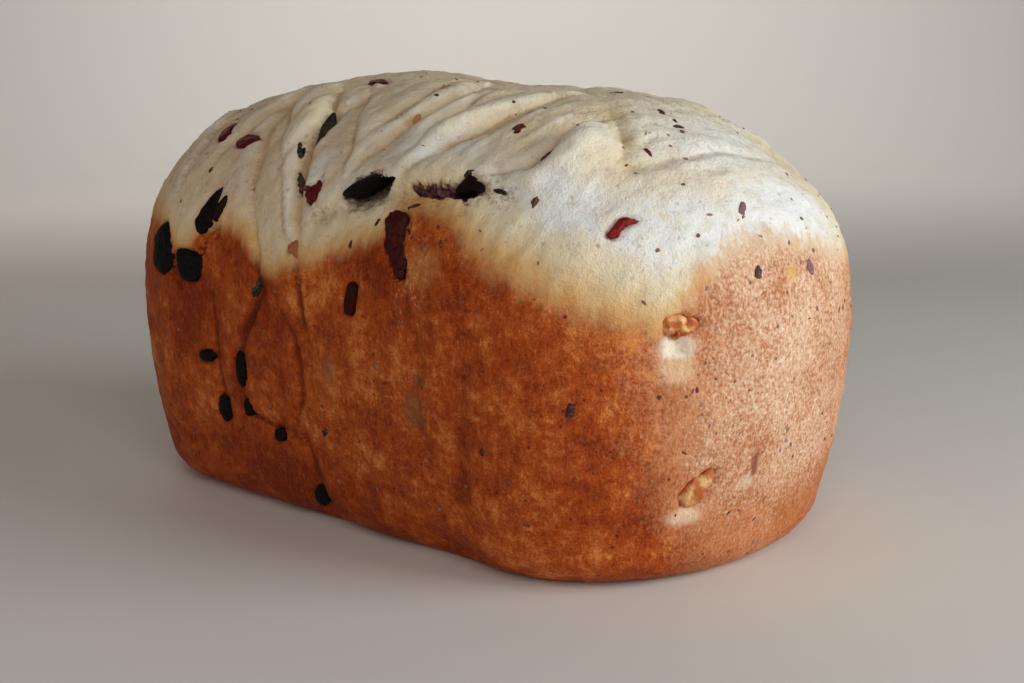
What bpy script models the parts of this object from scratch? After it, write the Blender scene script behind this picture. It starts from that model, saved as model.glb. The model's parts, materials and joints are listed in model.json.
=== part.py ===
"""A loaf of fruit and nut bread, baked in the tapered tin of a bread machine.

The loaf is one closed solid: a tapered block with rounded ends up to the shoulder, where the tin ended, and a
domed top with folds, a knob of dough and a torn seam above the shoulder. The raisins, cranberries and pieces
of walnut that show at its surface are solids of their own, each in a pocket of the loaf.

Metres, +Z up. X runs along the loaf, and the origin is the middle of the flat base.
"""

import math

import bmesh
import bpy
import numpy as np
from mathutils import Matrix, Vector, noise
from mathutils.bvhtree import BVHTree

MM = 0.001

# The block that the tin shaped
HALF_LENGTH = 100 * MM
HALF_WIDTH = 62 * MM
SHOULDER_HEIGHT = 62 * MM
DOME_HEIGHT = 48 * MM
END_DRAFT = 9 * MM
SIDE_DRAFT = 11 * MM
DRAFT_POWER = 1.9
HEEL_RADIUS = 7.5 * MM
CORNER_AT_BASE = (37 * MM, 50 * MM)
CORNER_AT_SHOULDER = (56 * MM, 61 * MM)

# The dome: z against the reach of each ring, as a superellipse in each direction
DOME_POWER = 1.9
DOME_END_POWER = 2.9
DOME_SIDE_POWER = 2.1

# The mesh
COLUMNS = 106
BASE_RINGS = 1
HEEL_RINGS = 3
SIDE_RINGS = 7
DOME_RINGS = 23
OUTLINE_SAMPLES = 720

# Folds: points along the fold in mm, half width, depth, and the height of the lip on the fold's right side,
# which is negative where the lip is on the left. Right is as seen from outside, going along the points.
FOLDS = {
    "knob_crease": ([(59, -24, 100), (57, -30, 99), (57, -37, 96), (56, -43, 93), (51, -47, 91)], 2.4, 3.2, -2.0),
    "knob_hollow": ([(55, -15, 104), (62, -21, 101), (68, -27, 96), (71, -31, 92)], 4.0, 3.4, -0.6),
    "right_crease": ([(73, -31, 91), (76, -22, 93), (79, -10, 94), (81, 5, 93), (83, 22, 89)], 2.2, 1.7, 1.4),
    "upper_crease": ([(24, -48, 92), (33, -45, 95), (39, -36, 101), (42, -24, 105), (49, -10, 107)], 2.2, 1.8, -1.8),
    "left_lump": ([(12, -12, 109), (18, -24, 106), (20, -33, 102), (17, -41, 98), (12, -50, 90)], 2.4, 2.0, 2.0),
    "ridge_valley": ([(-22, -28, 106), (-14, -42, 98), (-10, -49, 91), (-6, -55, 84), (-3, -60, 75)], 2.6, 2.4, 2.2),
    "left_crease": ([(-35, -34, 102), (-25, -48, 92), (-17, -57, 80), (-15, -62, 64), (-22, -61, 47)], 2.0, 1.8, 0.9),
    "side_crease": ([(-22, -61, 47), (-26, -60, 36), (-24, -59, 29), (-14, -59, 27), (-6, -58, 27)], 1.9, 1.6, -0.5),
    "lobe_crease": ([(-3, -62, 66), (1, -61, 50), (0, -60, 39), (-5, -58, 28)], 1.8, 0.9, 0.0),
    "heel_crease": ([(-5, -58, 28), (-3, -56, 18), (-4, -53, 6)], 2.0, 1.5, 0.4),
    "side_valley": ([(52, -62, 68), (53, -61, 53), (50, -60, 38), (47, -57, 20), (43, -53, 4)], 4.5, 1.1, 0.0),
    "tear_line": ([(4, -58, 79), (12, -56, 83), (26, -54, 85), (38, -52, 87), (52, -49, 88)], 2.8, 1.6, -1.0),
    "far_crease": ([(-70, -12, 100), (-58, -30, 96), (-52, -46, 86), (-50, -57, 74)], 2.4, 1.5, 1.2),
    "back_crease": ([(6, 10, 109), (20, 26, 105), (24, 42, 97), (20, 54, 84), (22, 61, 66)], 2.4, 2.0, 1.6),
    "back_fold": ([(-44, 6, 108), (-30, 22, 106), (-30, 40, 98), (-40, 54, 83)], 2.4, 2.0, -1.8),
    "back_seam": ([(58, 14, 104), (60, 32, 98), (52, 47, 88), (50, 58, 72)], 2.2, 1.7, 1.4),
    "back_side_crease": ([(-38, 61, 60), (-34, 60, 42), (-40, 58, 24), (-38, 54, 6)], 2.0, 1.2, 0.4),
    "end_crease": ([(-82, -8, 92), (-90, 4, 84), (-97, 12, 70), (-98, 14, 52)], 2.2, 1.4, 1.0),
}

# Swellings and dents: the middle in mm, the reach along X, Y and Z, and the height, negative for a dent
SWELLINGS = {
    "knob": ((63, -34, 95), (7, 9, 8), 3.4),
    "left_lobe": ((0, -20, 109), (16, 12, 12), 1.6),
    "crown_lobe": ((34, 8, 108), (22, 22, 14), 0.8),
    "tear_lip": ((24, -51, 90), (24, 6, 4), 1.6),
    "end_lip": ((84, -18, 88), (9, 22, 8), 1.0),
    "back_lobe": ((34, 40, 98), (18, 14, 10), 1.6),
    "heel_dent": ((37, -52, 1), (11, 8, 7), -3.2),
    "left_heel_dent": ((-3, -52, 2), (7, 6, 8), -2.4),
    "back_heel_dent": ((-20, 52, 1), (12, 7, 6), -2.2),
}

# Slanting wrinkles between the larger folds: count, first and last x in mm, side of the loaf, seed
WRINKLES = ((11, -64, 24, -1, 3), (9, -70, 66, 1, 8), (4, 30, 74, -1, 21))
WRINKLE_DEPTH = 1.0
WRINKLE_WIDTH = 2.2

# Slow unevenness of the whole dough, in mm
UNEVEN_DOME = 1.1
UNEVEN_SIDE = 0.45
UNEVEN_REACH = 24 * MM
UNEVEN_SEED = 4.0

# The two mouths of the torn seam: middle, half length, half height, depth in mm, and tilt in degrees
MOUTHS = (
    ((17.5, -55, 85), 8.5, 2.8, 8.0, 20),
    ((39.5, -53, 87), 9.5, 2.5, 7.0, 10),
)

# What shows at the surface: a place on or near it in mm, length, width and thickness in mm, and the turn of
# the length in degrees from upright, clockwise as seen from outside. Two raisins hang from the roofs of the
# mouths and stand further out of them.
RAISINS = (
    ((-55, -61, 66), (15, 12, 6), 70),
    ((-42.5, -62, 63), (11, 7.5, 6), 70),
    ((-38.5, -60, 75), (9.5, 4.4, 5), -6),
    ((-33, -58.5, 78.5), (8, 4.2, 5), 16),
    ((15, -53, 87.5), (12.5, 4.8, 4.8), 90),
    ((45, -50.5, 88.5), (8, 5.6, 4.8), 100),
    ((-38.5, -60.5, 40), (8.4, 4, 4.5), 83),
    ((-25.7, -60, 38), (11, 4.8, 5), 8),
    ((-35.5, -58, 26), (9.5, 6, 5), 6),
    ((-25, -58.7, 28), (6.4, 4.6, 4), 30),
    ((-14.9, -57, 22.5), (5.8, 4.2, 4), 60),
    ((-6, -51, 7), (10, 6, 5), 25),
    ((-7, -54, 86), (8, 3.6, 4.5), 4),
    ((-12, -42, 98), (9.5, 3.6, 4), 28),
    ((17.7, -62, 61.6), (6, 4.6, 4), 20),
    ((-60, 60, 58), (11, 8, 6), 40),
    ((12, 62, 40), (10, 6, 5), 15),
    ((48, 59, 70), (12, 7, 5), 75),
    ((-12, 56, 84), (10, 6.5, 5), -30),
    ((-99, 14, 44), (10, 8, 5.5), 20),
    ((-92, -24, 78), (9, 6, 5), 60),
    ((-46, 8, 107), (9, 6.5, 4.5), 50),
    ((72, 52, 30), (8, 5, 4.5), -20),
)
CRANBERRIES = (
    ((31, -59.5, 75.5), (13.5, 6, 4.5), -38),
    ((78.5, -40.3, 81.7), (7.4, 3.8, 3.4), 58),
    ((-49.5, -42.5, 95), (8, 4.5, 3.8), -50),
    ((-36.4, -46.3, 93.7), (8, 4, 3.6), 80),
    ((-0.5, -55, 85), (7.2, 5, 4), -66),
    ((-16, -20, 108), (7, 4, 3.4), -70),
    ((34, 46, 94), (9, 5, 4), 10),
    ((-70, 40, 88), (8, 4.4, 4), -40),
    ((-20, 61, 30), (9, 5, 4.2), 35),
    ((-96, -8, 28), (8, 4, 4), 0),
)
WALNUTS = (
    ((90, -36, 61.4), (9.2, 5.8, 5), 94),
    ((91.2, -28.8, 23.8), (8.8, 7, 5), 139),
    ((30, 60, 20), (11, 8, 5), 55),
    ((-97, 0, 66), (9, 6.5, 5), 100),
)
STANDS_PROUD = 0.9 * MM
IN_MOUTHS = {"raisin_05": 3.2 * MM, "raisin_06": 3.0 * MM}
POCKET_GAP = 0.35 * MM

# kind: colour, roughness, how far the surface bulges as a share of the radius, how fine the bulges are
KINDS = {
    "raisin": ((0.012, 0.008, 0.010, 1), 0.42, 0.10, 1.5),
    "cranberry": ((0.110, 0.008, 0.012, 1), 0.38, 0.09, 1.2),
    "walnut": ((0.560, 0.270, 0.085, 1), 0.50, 0.20, 1.8),
}
CRUST_COLOUR = (0.480, 0.190, 0.060, 1)
CRUST_ROUGHNESS = 0.62
SHARP_ANGLE = math.radians(55)


def clear_scene():
    """Leave nothing of the file that Blender starts with."""
    for thing in list(bpy.data.objects):
        bpy.data.objects.remove(thing, do_unlink=True)


def material(name, colour, roughness):
    made = bpy.data.materials.new(name)
    made.use_nodes = True
    shader = made.node_tree.nodes["Principled BSDF"]
    shader.inputs["Base Color"].default_value = colour
    shader.inputs["Roughness"].default_value = roughness
    made.diffuse_color = colour
    return made


def shade(mesh):
    mesh.shade_smooth()
    mesh.set_sharp_from_angle(angle=SHARP_ANGLE)


def as_object(name, bm, finish=None):
    mesh = bpy.data.meshes.new(name)
    bm.to_mesh(mesh)
    bm.free()
    shade(mesh)
    thing = bpy.data.objects.new(name, mesh)
    if finish:
        mesh.materials.append(finish)
    bpy.context.scene.collection.objects.link(thing)
    return thing


def outline(half_x, half_y, corner_x, corner_y):
    """The plan at one height: straight sides and elliptical corners, in evenly spaced columns."""
    corner_y = min(corner_y, half_y)
    turn = np.linspace(0, 2 * np.pi, OUTLINE_SAMPLES + 1)
    x = np.sign(np.cos(turn)) * (half_x - corner_x) + corner_x * np.cos(turn)
    y = np.sign(np.sin(turn)) * (half_y - corner_y) + corner_y * np.sin(turn)
    y[0] = y[-1] = 0
    x[0] = x[-1] = half_x
    along = np.concatenate([[0], np.cumsum(np.hypot(np.diff(x), np.diff(y)))])
    at = np.linspace(0, along[-1], COLUMNS, endpoint=False)
    return np.interp(at, along, x), np.interp(at, along, y)


def block_ring(z):
    """The ring of the tin-shaped block at a height up to the shoulder."""
    rise = z / SHOULDER_HEIGHT
    draft = (1 - rise) ** DRAFT_POWER
    heel = 0.0
    if z < HEEL_RADIUS:
        heel = HEEL_RADIUS - math.sqrt(HEEL_RADIUS**2 - (HEEL_RADIUS - z) ** 2)
    corner_x, corner_y = (
        low + (high - low) * rise for low, high in zip(CORNER_AT_BASE, CORNER_AT_SHOULDER)
    )
    x, y = outline(
        HALF_LENGTH - END_DRAFT * draft - heel, HALF_WIDTH - SIDE_DRAFT * draft - heel, corner_x, corner_y
    )
    return np.column_stack([x, y, np.full(COLUMNS, z)])


def dome_ring(share):
    """The ring of the dome at a share of its height."""
    closing = 1 - share**DOME_POWER
    x, y = outline(HALF_LENGTH, HALF_WIDTH, *CORNER_AT_SHOULDER)
    z = SHOULDER_HEIGHT + DOME_HEIGHT * share
    return np.column_stack(
        [x * closing ** (1 / DOME_END_POWER), y * closing ** (1 / DOME_SIDE_POWER), np.full(COLUMNS, z)]
    )


def smooth_rings():
    """All rings from the base to just under the crown, without the two poles."""
    base = block_ring(0)
    rings = [base * [k / (BASE_RINGS + 1), k / (BASE_RINGS + 1), 1] for k in range(1, BASE_RINGS + 1)]
    turns = [math.pi / 2 * k / HEEL_RINGS for k in range(HEEL_RINGS)]
    rings += [block_ring(HEEL_RADIUS * (1 - math.cos(turn))) for turn in turns]
    side = SHOULDER_HEIGHT - HEEL_RADIUS
    rings += [block_ring(HEEL_RADIUS + side * k / SIDE_RINGS) for k in range(SIDE_RINGS)]
    rings += [dome_ring(math.sin(math.pi / 2 * k / DOME_RINGS)) for k in range(DOME_RINGS)]
    return rings


def smooth_loaf():
    """The loaf before its folds, as a bmesh of rings closed by a pole at the base and one at the crown."""
    bm = bmesh.new()
    rings = [[bm.verts.new(point) for point in ring] for ring in smooth_rings()]
    bottom = bm.verts.new((0, 0, 0))
    crown = bm.verts.new((0, 0, SHOULDER_HEIGHT + DOME_HEIGHT))
    for column in range(COLUMNS):
        beside = (column + 1) % COLUMNS
        bm.faces.new((bottom, rings[0][beside], rings[0][column]))
        for low, high in zip(rings, rings[1:]):
            bm.faces.new((low[column], low[beside], high[beside], high[column]))
        bm.faces.new((rings[-1][column], rings[-1][beside], crown))
    bm.normal_update()
    return bm


def fold_shift(points, normals, line, half_width, depth, lip):
    """How far a fold moves each point along its normal: a groove on the line and a lip beside it."""
    line = np.array(line, float) * MM
    starts, ends = line[:-1], line[1:]
    spans = ends - starts
    lengths = np.linalg.norm(spans, axis=1)
    before = np.concatenate([[0], np.cumsum(lengths)[:-1]])
    nearest = np.full(len(points), np.inf)
    aside = np.zeros(len(points))
    along = np.zeros(len(points))
    for start, span, length, passed in zip(starts, spans, lengths, before):
        part = np.clip((points - start) @ span / length**2, 0, 1)
        offset = points - (start + part[:, None] * span)
        distance = np.linalg.norm(offset, axis=1)
        right = np.cross(span / length, normals)
        closer = distance < nearest
        nearest = np.where(closer, distance, nearest)
        aside = np.where(closer, np.sign((offset * right).sum(1)), aside)
        along = np.where(closer, (passed + part * length) / lengths.sum(), along)
    reach = nearest / (half_width * MM)
    fade = np.sin(np.pi * np.clip(along, 0.04, 0.96)) ** 0.5
    groove = -depth * np.exp(-(reach**2))
    side = np.clip(aside * np.sign(lip), 0, 1) * reach / 1.6
    raised = abs(lip) * side * np.exp(1 - side)
    return (groove + raised) * fade * MM


def wrinkle_lines(count, first_x, last_x, side, seed):
    """Short slanting folds down one side of the dome, spaced evenly and then shaken."""
    shaken = np.random.default_rng(seed)
    for step in range(count):
        x = first_x + (last_x - first_x) * (step + shaken.uniform(-0.3, 0.3)) / max(count - 1, 1)
        lean = shaken.uniform(-0.45, -0.15)
        tops, feet = shaken.uniform(10, 24), shaken.uniform(46, 56)
        line = []
        for y in np.linspace(tops, feet, 4):
            drop = (y / (HALF_WIDTH / MM)) ** DOME_SIDE_POWER
            z = SHOULDER_HEIGHT / MM + DOME_HEIGHT / MM * max(1 - drop, 0.02) ** (1 / DOME_POWER)
            line.append((x + lean * y + shaken.uniform(-1.5, 1.5), side * y, z))
        yield line, WRINKLE_WIDTH * shaken.uniform(0.8, 1.3), WRINKLE_DEPTH * shaken.uniform(0.5, 1.2)


def relief(points, normals):
    """The shift of each point along its normal, from all folds, swellings, wrinkles and unevenness."""
    shift = np.zeros(len(points))
    for line, half_width, depth, lip in FOLDS.values():
        shift += fold_shift(points, normals, line, half_width, depth, lip)
    for middle, reach, height in SWELLINGS.values():
        away = (points / MM - middle) / reach
        shift += height * MM * np.exp(-(away**2).sum(1))
    for family in WRINKLES:
        for line, half_width, depth in wrinkle_lines(*family):
            shift += fold_shift(points, normals, line, half_width, depth, depth * 0.8)
    high = np.clip((points[:, 2] - SHOULDER_HEIGHT) / (0.3 * DOME_HEIGHT), 0, 1)
    swing = np.array(
        [noise.noise(Vector(point) / UNEVEN_REACH + Vector((UNEVEN_SEED, 0, 0))) for point in points]
    )
    shift += swing * (UNEVEN_SIDE + (UNEVEN_DOME - UNEVEN_SIDE) * high) * MM
    return shift


def folded_loaf():
    """The loaf with its folds. The flat of the base stays flat, and so does the widest ring's reach."""
    bm = smooth_loaf()
    bm.verts.ensure_lookup_table()
    points = np.array([vert.co for vert in bm.verts])
    normals = np.array([vert.normal for vert in bm.verts])
    off_base = np.clip(points[:, 2] / (0.3 * HEEL_RADIUS), 0, 1)
    moved = points + normals * (relief(points, normals) * off_base)[:, None]
    moved[:, 2] = np.maximum(moved[:, 2], 0)
    for vert, place in zip(bm.verts, moved):
        vert.co = place
    bm.normal_update()
    return bm


def lumpy_ball(segments, rings, half_sizes, bulge, fineness, seed, grown=0.0):
    """A ball stretched to three half sizes, uneven by a share of its radius, and grown by a gap all over."""
    bm = bmesh.new()
    bmesh.ops.create_uvsphere(bm, u_segments=segments, v_segments=rings, radius=1.0)
    for vert in bm.verts:
        swell = 1 + bulge * noise.noise(vert.co * fineness + Vector((seed, seed * 0.7, 0)))
        vert.co = Vector(c * swell * h for c, h in zip(vert.co, half_sizes))
    bm.normal_update()
    for vert in bm.verts:
        vert.co += vert.normal * grown
    return bm


def facing(place, normal, turn):
    """A frame on the surface: Z out of it, and X along the piece's length, turned from upright."""
    normal = normal.normalized()
    upright = Vector((0, 0, 1)) - normal * normal.z
    if upright.length < 0.2:
        upright = Vector((0, 1, 0)) - normal * normal.y
    upright.normalize()
    aside = upright.cross(normal)
    length = upright * math.cos(turn) + aside * math.sin(turn)
    across = normal.cross(length)
    frame = Matrix((length, across, normal)).transposed().to_4x4()
    frame.translation = place
    return frame


def whole_bodies(bm):
    """The vertices of each body of a mesh, the largest body first."""
    left = set(bm.verts)
    bodies = []
    while left:
        front = [left.pop()]
        body = list(front)
        while front:
            beside = {edge.other_vert(vert) for vert in front for edge in vert.link_edges} & left
            left -= beside
            front = list(beside)
            body += front
        bodies.append(body)
    return sorted(bodies, key=len, reverse=True)


def cut(target, cutters):
    """Take the cutters out of the target, drop any loose scrap, and remove the cutters.

    A pocket whose rim grazes a fold leaves EXACT with edges that four faces share, so the cuts are MANIFOLD.
    """
    for cutter in cutters:
        cutter.hide_render = True
        cutter.display_type = "WIRE"
        carve = target.modifiers.new(cutter.name, "BOOLEAN")
        carve.operation = "DIFFERENCE"
        carve.solver = "MANIFOLD"
        carve.object = cutter
    graph = bpy.context.evaluated_depsgraph_get()
    carved = bpy.data.meshes.new_from_object(target.evaluated_get(graph))
    target.modifiers.clear()
    bm = bmesh.new()
    bm.from_mesh(carved)
    scraps = [vert for body in whole_bodies(bm)[1:] for vert in body]
    bmesh.ops.delete(bm, geom=scraps, context="VERTS")
    bm.to_mesh(carved)
    bm.free()
    shade(carved)
    target.data = carved
    for cutter in cutters:
        bpy.data.objects.remove(cutter, do_unlink=True)


def surface_of(thing):
    bm = bmesh.new()
    bm.from_mesh(thing.data)
    tree = BVHTree.FromBMesh(bm)
    bm.free()
    return tree


def tear_mouths(loaf):
    """The two open mouths of the seam, where the crust tore and the crumb shows."""
    surface = surface_of(loaf)
    cutters = []
    for number, (middle, half_length, half_height, depth, tilt) in enumerate(MOUTHS):
        place, normal, _, _ = surface.find_nearest(Vector(middle) * MM)
        half_sizes = [s * MM for s in (half_length, half_height, depth)]
        bm = lumpy_ball(16, 10, half_sizes, 0.16, 1.7, 11.0 + number)
        bm.transform(facing(place, normal, math.radians(90 - tilt)))
        cutters.append(as_object(f"mouth_cutter_{number + 1}", bm))
    cut(loaf, cutters)


def inclusions(loaf):
    """The fruit and nuts, each half sunk in a pocket that is a little larger than itself."""
    surface = surface_of(loaf)
    cutters = []
    for kind, pieces in (("raisin", RAISINS), ("cranberry", CRANBERRIES), ("walnut", WALNUTS)):
        colour, roughness, bulge, fineness = KINDS[kind]
        finish = material(kind, colour, roughness)
        for number, (middle, size, turn) in enumerate(pieces, 1):
            piece = f"{kind}_{number:02d}"
            place, normal, _, _ = surface.find_nearest(Vector(middle) * MM)
            half_sizes = [s * MM / 2 for s in size]
            sunk = place + normal * (IN_MOUTHS.get(piece, STANDS_PROUD) - half_sizes[2])
            frame = facing(sunk, normal, math.radians(turn))
            segments, rings = (10, 6) if max(size) > 10 else (8, 5)
            shape = (segments, rings, half_sizes, bulge, fineness, number * 3.7)
            ball = lumpy_ball(*shape)
            ball.transform(frame)
            as_object(piece, ball, finish)
            pocket = lumpy_ball(*shape, POCKET_GAP)
            pocket.transform(frame)
            cutters.append(as_object(f"pocket_{piece}", pocket))
    cut(loaf, cutters)


def main():
    clear_scene()
    loaf = as_object("loaf", folded_loaf(), material("crust", CRUST_COLOUR, CRUST_ROUGHNESS))
    tear_mouths(loaf)
    inclusions(loaf)


main()
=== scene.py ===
"""A loaf of fruit and nut bread, baked in the lying tin of a bread machine.

A fine mesh of the same form stands for the loaf's solid, with its folds, torn seam and browning. Each raisin,
cranberry and piece of walnut is made again in its own place, with its wrinkles, and small bits of fruit and
nut lie in the crust between them.
"""

import json
import math

import bmesh
import bpy
import numpy as np
from mathutils import Matrix, Vector, noise
from mathutils.bvhtree import BVHTree
from mathutils.kdtree import KDTree

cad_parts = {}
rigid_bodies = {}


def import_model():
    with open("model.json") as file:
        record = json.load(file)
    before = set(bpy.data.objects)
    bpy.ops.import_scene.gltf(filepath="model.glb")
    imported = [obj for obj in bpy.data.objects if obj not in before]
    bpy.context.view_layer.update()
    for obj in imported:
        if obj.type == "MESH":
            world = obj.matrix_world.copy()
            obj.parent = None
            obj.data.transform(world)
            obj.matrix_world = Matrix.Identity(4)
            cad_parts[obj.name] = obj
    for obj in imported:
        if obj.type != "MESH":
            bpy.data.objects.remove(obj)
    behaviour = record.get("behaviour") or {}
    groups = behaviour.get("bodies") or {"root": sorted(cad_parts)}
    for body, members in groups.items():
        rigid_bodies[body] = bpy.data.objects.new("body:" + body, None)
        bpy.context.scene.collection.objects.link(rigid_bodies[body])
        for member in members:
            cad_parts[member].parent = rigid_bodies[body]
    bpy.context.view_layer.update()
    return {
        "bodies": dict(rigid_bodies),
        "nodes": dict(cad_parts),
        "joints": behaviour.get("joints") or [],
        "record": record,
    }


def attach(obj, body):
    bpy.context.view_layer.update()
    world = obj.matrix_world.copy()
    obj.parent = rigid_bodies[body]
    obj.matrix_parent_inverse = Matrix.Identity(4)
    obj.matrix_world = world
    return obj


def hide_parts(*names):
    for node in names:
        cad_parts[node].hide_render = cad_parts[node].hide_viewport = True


MM = 0.001

# The block that the tin shaped, and the dome above it
HALF_LENGTH = 100 * MM
HALF_WIDTH = 62 * MM
SHOULDER_HEIGHT = 62 * MM
DOME_HEIGHT = 48 * MM
END_DRAFT = 9 * MM
SIDE_DRAFT = 11 * MM
DRAFT_POWER = 1.9
HEEL_RADIUS = 7.5 * MM
CORNER_AT_BASE = (37 * MM, 50 * MM)
CORNER_AT_SHOULDER = (56 * MM, 61 * MM)
DOME_POWER = 1.9
DOME_END_POWER = 2.9
DOME_SIDE_POWER = 2.1

# The mesh: columns crowd together round the long side with the seam, where the folds are finest
COLUMNS = 416
BASE_RINGS = 4
HEEL_RINGS = 6
SIDE_RINGS = 62
DOME_RINGS = 144
OUTLINE_SAMPLES = 2880
CROWDING = 0.35
CROWDED_AT = 0.80

# Folds: points along the fold in mm, half width, depth, and the height of the lip on the fold's right side,
# which is negative where the lip is on the left. Right is as seen from outside, going along the points.
FOLDS = {
    "knob_crease": ([(59, -24, 100), (57, -30, 99), (57, -37, 96), (56, -43, 93), (51, -47, 91)], 2.4, 3.2, -2.0),
    "knob_hollow": ([(57, -17, 102), (62, -21, 100.5), (67, -25.5, 97), (71, -30, 93)], 2.4, 1.1, -0.4),
    "right_crease": (
        [(73, -30, 92), (76, -23, 93), (78, -15, 94), (79, -5, 95), (80, 8, 93), (77, 26, 91)],
        2.0, 0.8, 0.3,
    ),
    "upper_crease": ([(26, -54, 88), (31, -47, 94), (37, -38, 99), (41, -27, 103), (43, -18, 107)], 1.9, 2.4, -2.2),
    "left_lump": ([(15, -14, 110), (22, -27, 107), (19, -36, 102), (14, -44, 97), (10, -52, 90)], 2.0, 2.6, 2.2),
    "ridge_valley": (
        [(-22, -28, 106), (-12, -40, 99), (-11, -47, 92), (-6, -55, 85), (-2, -61, 73)],
        2.1, 2.6, 2.2,
    ),
    "thin_ridge": (
        [(-36, -30, 104), (-24, -45, 97), (-13, -54, 90), (-9, -58, 82), (-6, -61, 74), (-2, -62, 67)],
        1.8, 1.9, -1.0,
    ),
    "valley_edge": ([(-12, -26, 107), (-3, -39, 101), (3, -46, 95), (8, -54, 88)], 1.9, 1.8, -1.6),
    "middle_fold": ([(4, -14, 110), (10, -30, 105), (9, -42, 99), (4, -50, 92)], 2.0, 1.1, 1.0),
    "lower_fold": ([(24, -20, 108), (28, -34, 103), (25, -46, 95), (20, -53, 89)], 2.0, 0.9, 0.8),
    "left_crease": (
        [(-36, -30, 104), (-31, -45, 96), (-26, -53, 89), (-21, -60, 79), (-16, -61, 70), (-14, -62, 60)],
        1.8, 2.0, 1.0,
    ),
    "left_side_crease": (
        [(-14, -62, 61), (-16, -62, 56), (-22, -61, 49), (-26, -59, 40), (-26, -58, 32)],
        1.6, 2.1, 0.6,
    ),
    "side_crease": ([(-26, -58, 32), (-24, -58, 27), (-16, -57, 25), (-8, -58, 25)], 1.5, 1.2, -0.4),
    "lobe_crease": ([(-8, -62, 58), (-3, -62, 50), (-2, -60, 42), (-3, -59, 34), (-8, -58, 25)], 1.5, 1.0, 0.3),
    "left_strip": ([(-34, -62, 62), (-33, -61, 48), (-34, -60, 36), (-33, -58, 18)], 1.5, 0.9, 0.3),
    "dough_run": ([(-1, -61, 72), (0, -62, 62), (2, -62, 50)], 1.5, 1.0, -0.5),
    "heel_crease": ([(-5, -58, 28), (-3, -56, 18), (-4, -53, 6)], 2.0, 1.1, 0.3),
    "side_valley": ([(52, -62, 68), (53, -61, 53), (50, -60, 38), (47, -57, 20), (43, -53, 4)], 4.5, 1.1, 0.0),
    "tear_line": ([(4, -58, 79), (12, -56, 83), (26, -54, 85), (38, -52, 87), (52, -49, 88)], 2.4, 1.8, -1.4),
    "corner_fold": ([(36, -62, 64), (39, -62, 50), (37, -61, 38), (39, -58, 20)], 3.2, 0.6, 0.0),
    "far_crease": ([(-70, -12, 100), (-58, -30, 96), (-52, -46, 86), (-50, -57, 74)], 2.4, 1.5, 1.2),
    "back_crease": ([(6, 10, 109), (20, 26, 105), (24, 42, 97), (20, 54, 84), (22, 61, 66)], 2.4, 2.0, 1.6),
    "back_fold": ([(-44, 6, 108), (-30, 22, 106), (-30, 40, 98), (-40, 54, 83)], 2.4, 2.0, -1.8),
    "back_seam": ([(58, 14, 104), (60, 32, 98), (52, 47, 88), (50, 58, 72)], 2.2, 1.7, 1.4),
    "back_side_crease": ([(-38, 61, 60), (-34, 60, 42), (-40, 58, 24), (-38, 54, 6)], 2.0, 1.2, 0.4),
    "end_crease": ([(-82, -8, 92), (-90, 4, 84), (-97, 12, 70), (-98, 14, 52)], 2.2, 1.4, 1.0),
}

# Swellings and dents: the middle in mm, the reach along X, Y and Z, and the height, negative for a dent
SWELLINGS = {
    "knob": ((63, -34, 95), (7, 9, 8), 3.4),
    "left_lobe": ((0, -20, 109), (16, 12, 12), 1.6),
    "crown_dent": ((18, 8, 109), (24, 26, 12), -4.0),
    "left_shoulder": ((-82, 2, 90), (18, 38, 17), -2.6),
    "right_shoulder": ((72, 26, 98), (22, 22, 14), -2.6),
    "seam_lobe": ((27, -42, 98), (8, 7, 6), 1.6),
    "cream_ridge": ((-22, -38, 103), (7, 12, 7), 1.2),
    "tear_lip": ((24, -51, 90), (24, 6, 4), 1.6),
    "end_lip": ((84, -18, 88), (9, 22, 8), 1.0),
    "back_lobe": ((34, 40, 98), (18, 14, 10), 1.6),
    "heel_dent": ((37, -52, 1), (11, 8, 7), -3.2),
    "left_heel_dent": ((-3, -52, 2), (7, 6, 8), -2.4),
    "back_heel_dent": ((-20, 52, 1), (12, 7, 6), -2.2),
}

# Slanting wrinkles between the larger folds: count, first and last x in mm, side of the loaf, seed
WRINKLES = ((8, -66, -6, -1, 3), (9, -70, 66, 1, 8), (5, -60, 50, 1, 35), (4, 36, 74, -1, 21))
WRINKLE_DEPTH = 0.9
WRINKLE_WIDTH = 2.2

# How much the dome and the sides swell and sink between the folds, in mm, over what distance, and the seed
UNEVEN_DOME = 1.1
UNEVEN_SIDE = 0.45
UNEVEN_REACH = 24 * MM
UNEVEN_SEED = 4.0

# A fold's section, in half widths: its sharp core, where its lip stands highest, and how far it can be felt
CREASE_CORE = 0.52
LIP_AT = 1.6
FOLD_SPREAD = 4.5

# The two mouths of the torn seam: middle, half length, half height, depth in mm, and tilt in degrees
MOUTHS = (
    ((17.5, -55, 85), 8.5, 3.1, 8.0, 24),
    ((39.5, -53, 87), 9.8, 1.8, 7.0, 11),
)
MOUTH_SEED = 11.0
# The ball that cuts a mouth: its segments round and up, and its lumps, each a strength and a fineness
MOUTH_SEGMENTS = (120, 60)
MOUTH_LUMPS = ((0.16, 1.7), (0.05, 7))
# How far the upper edge of a mouth is torn into teeth, as a share of its half height
MOUTH_TEETH = 0.75

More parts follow.
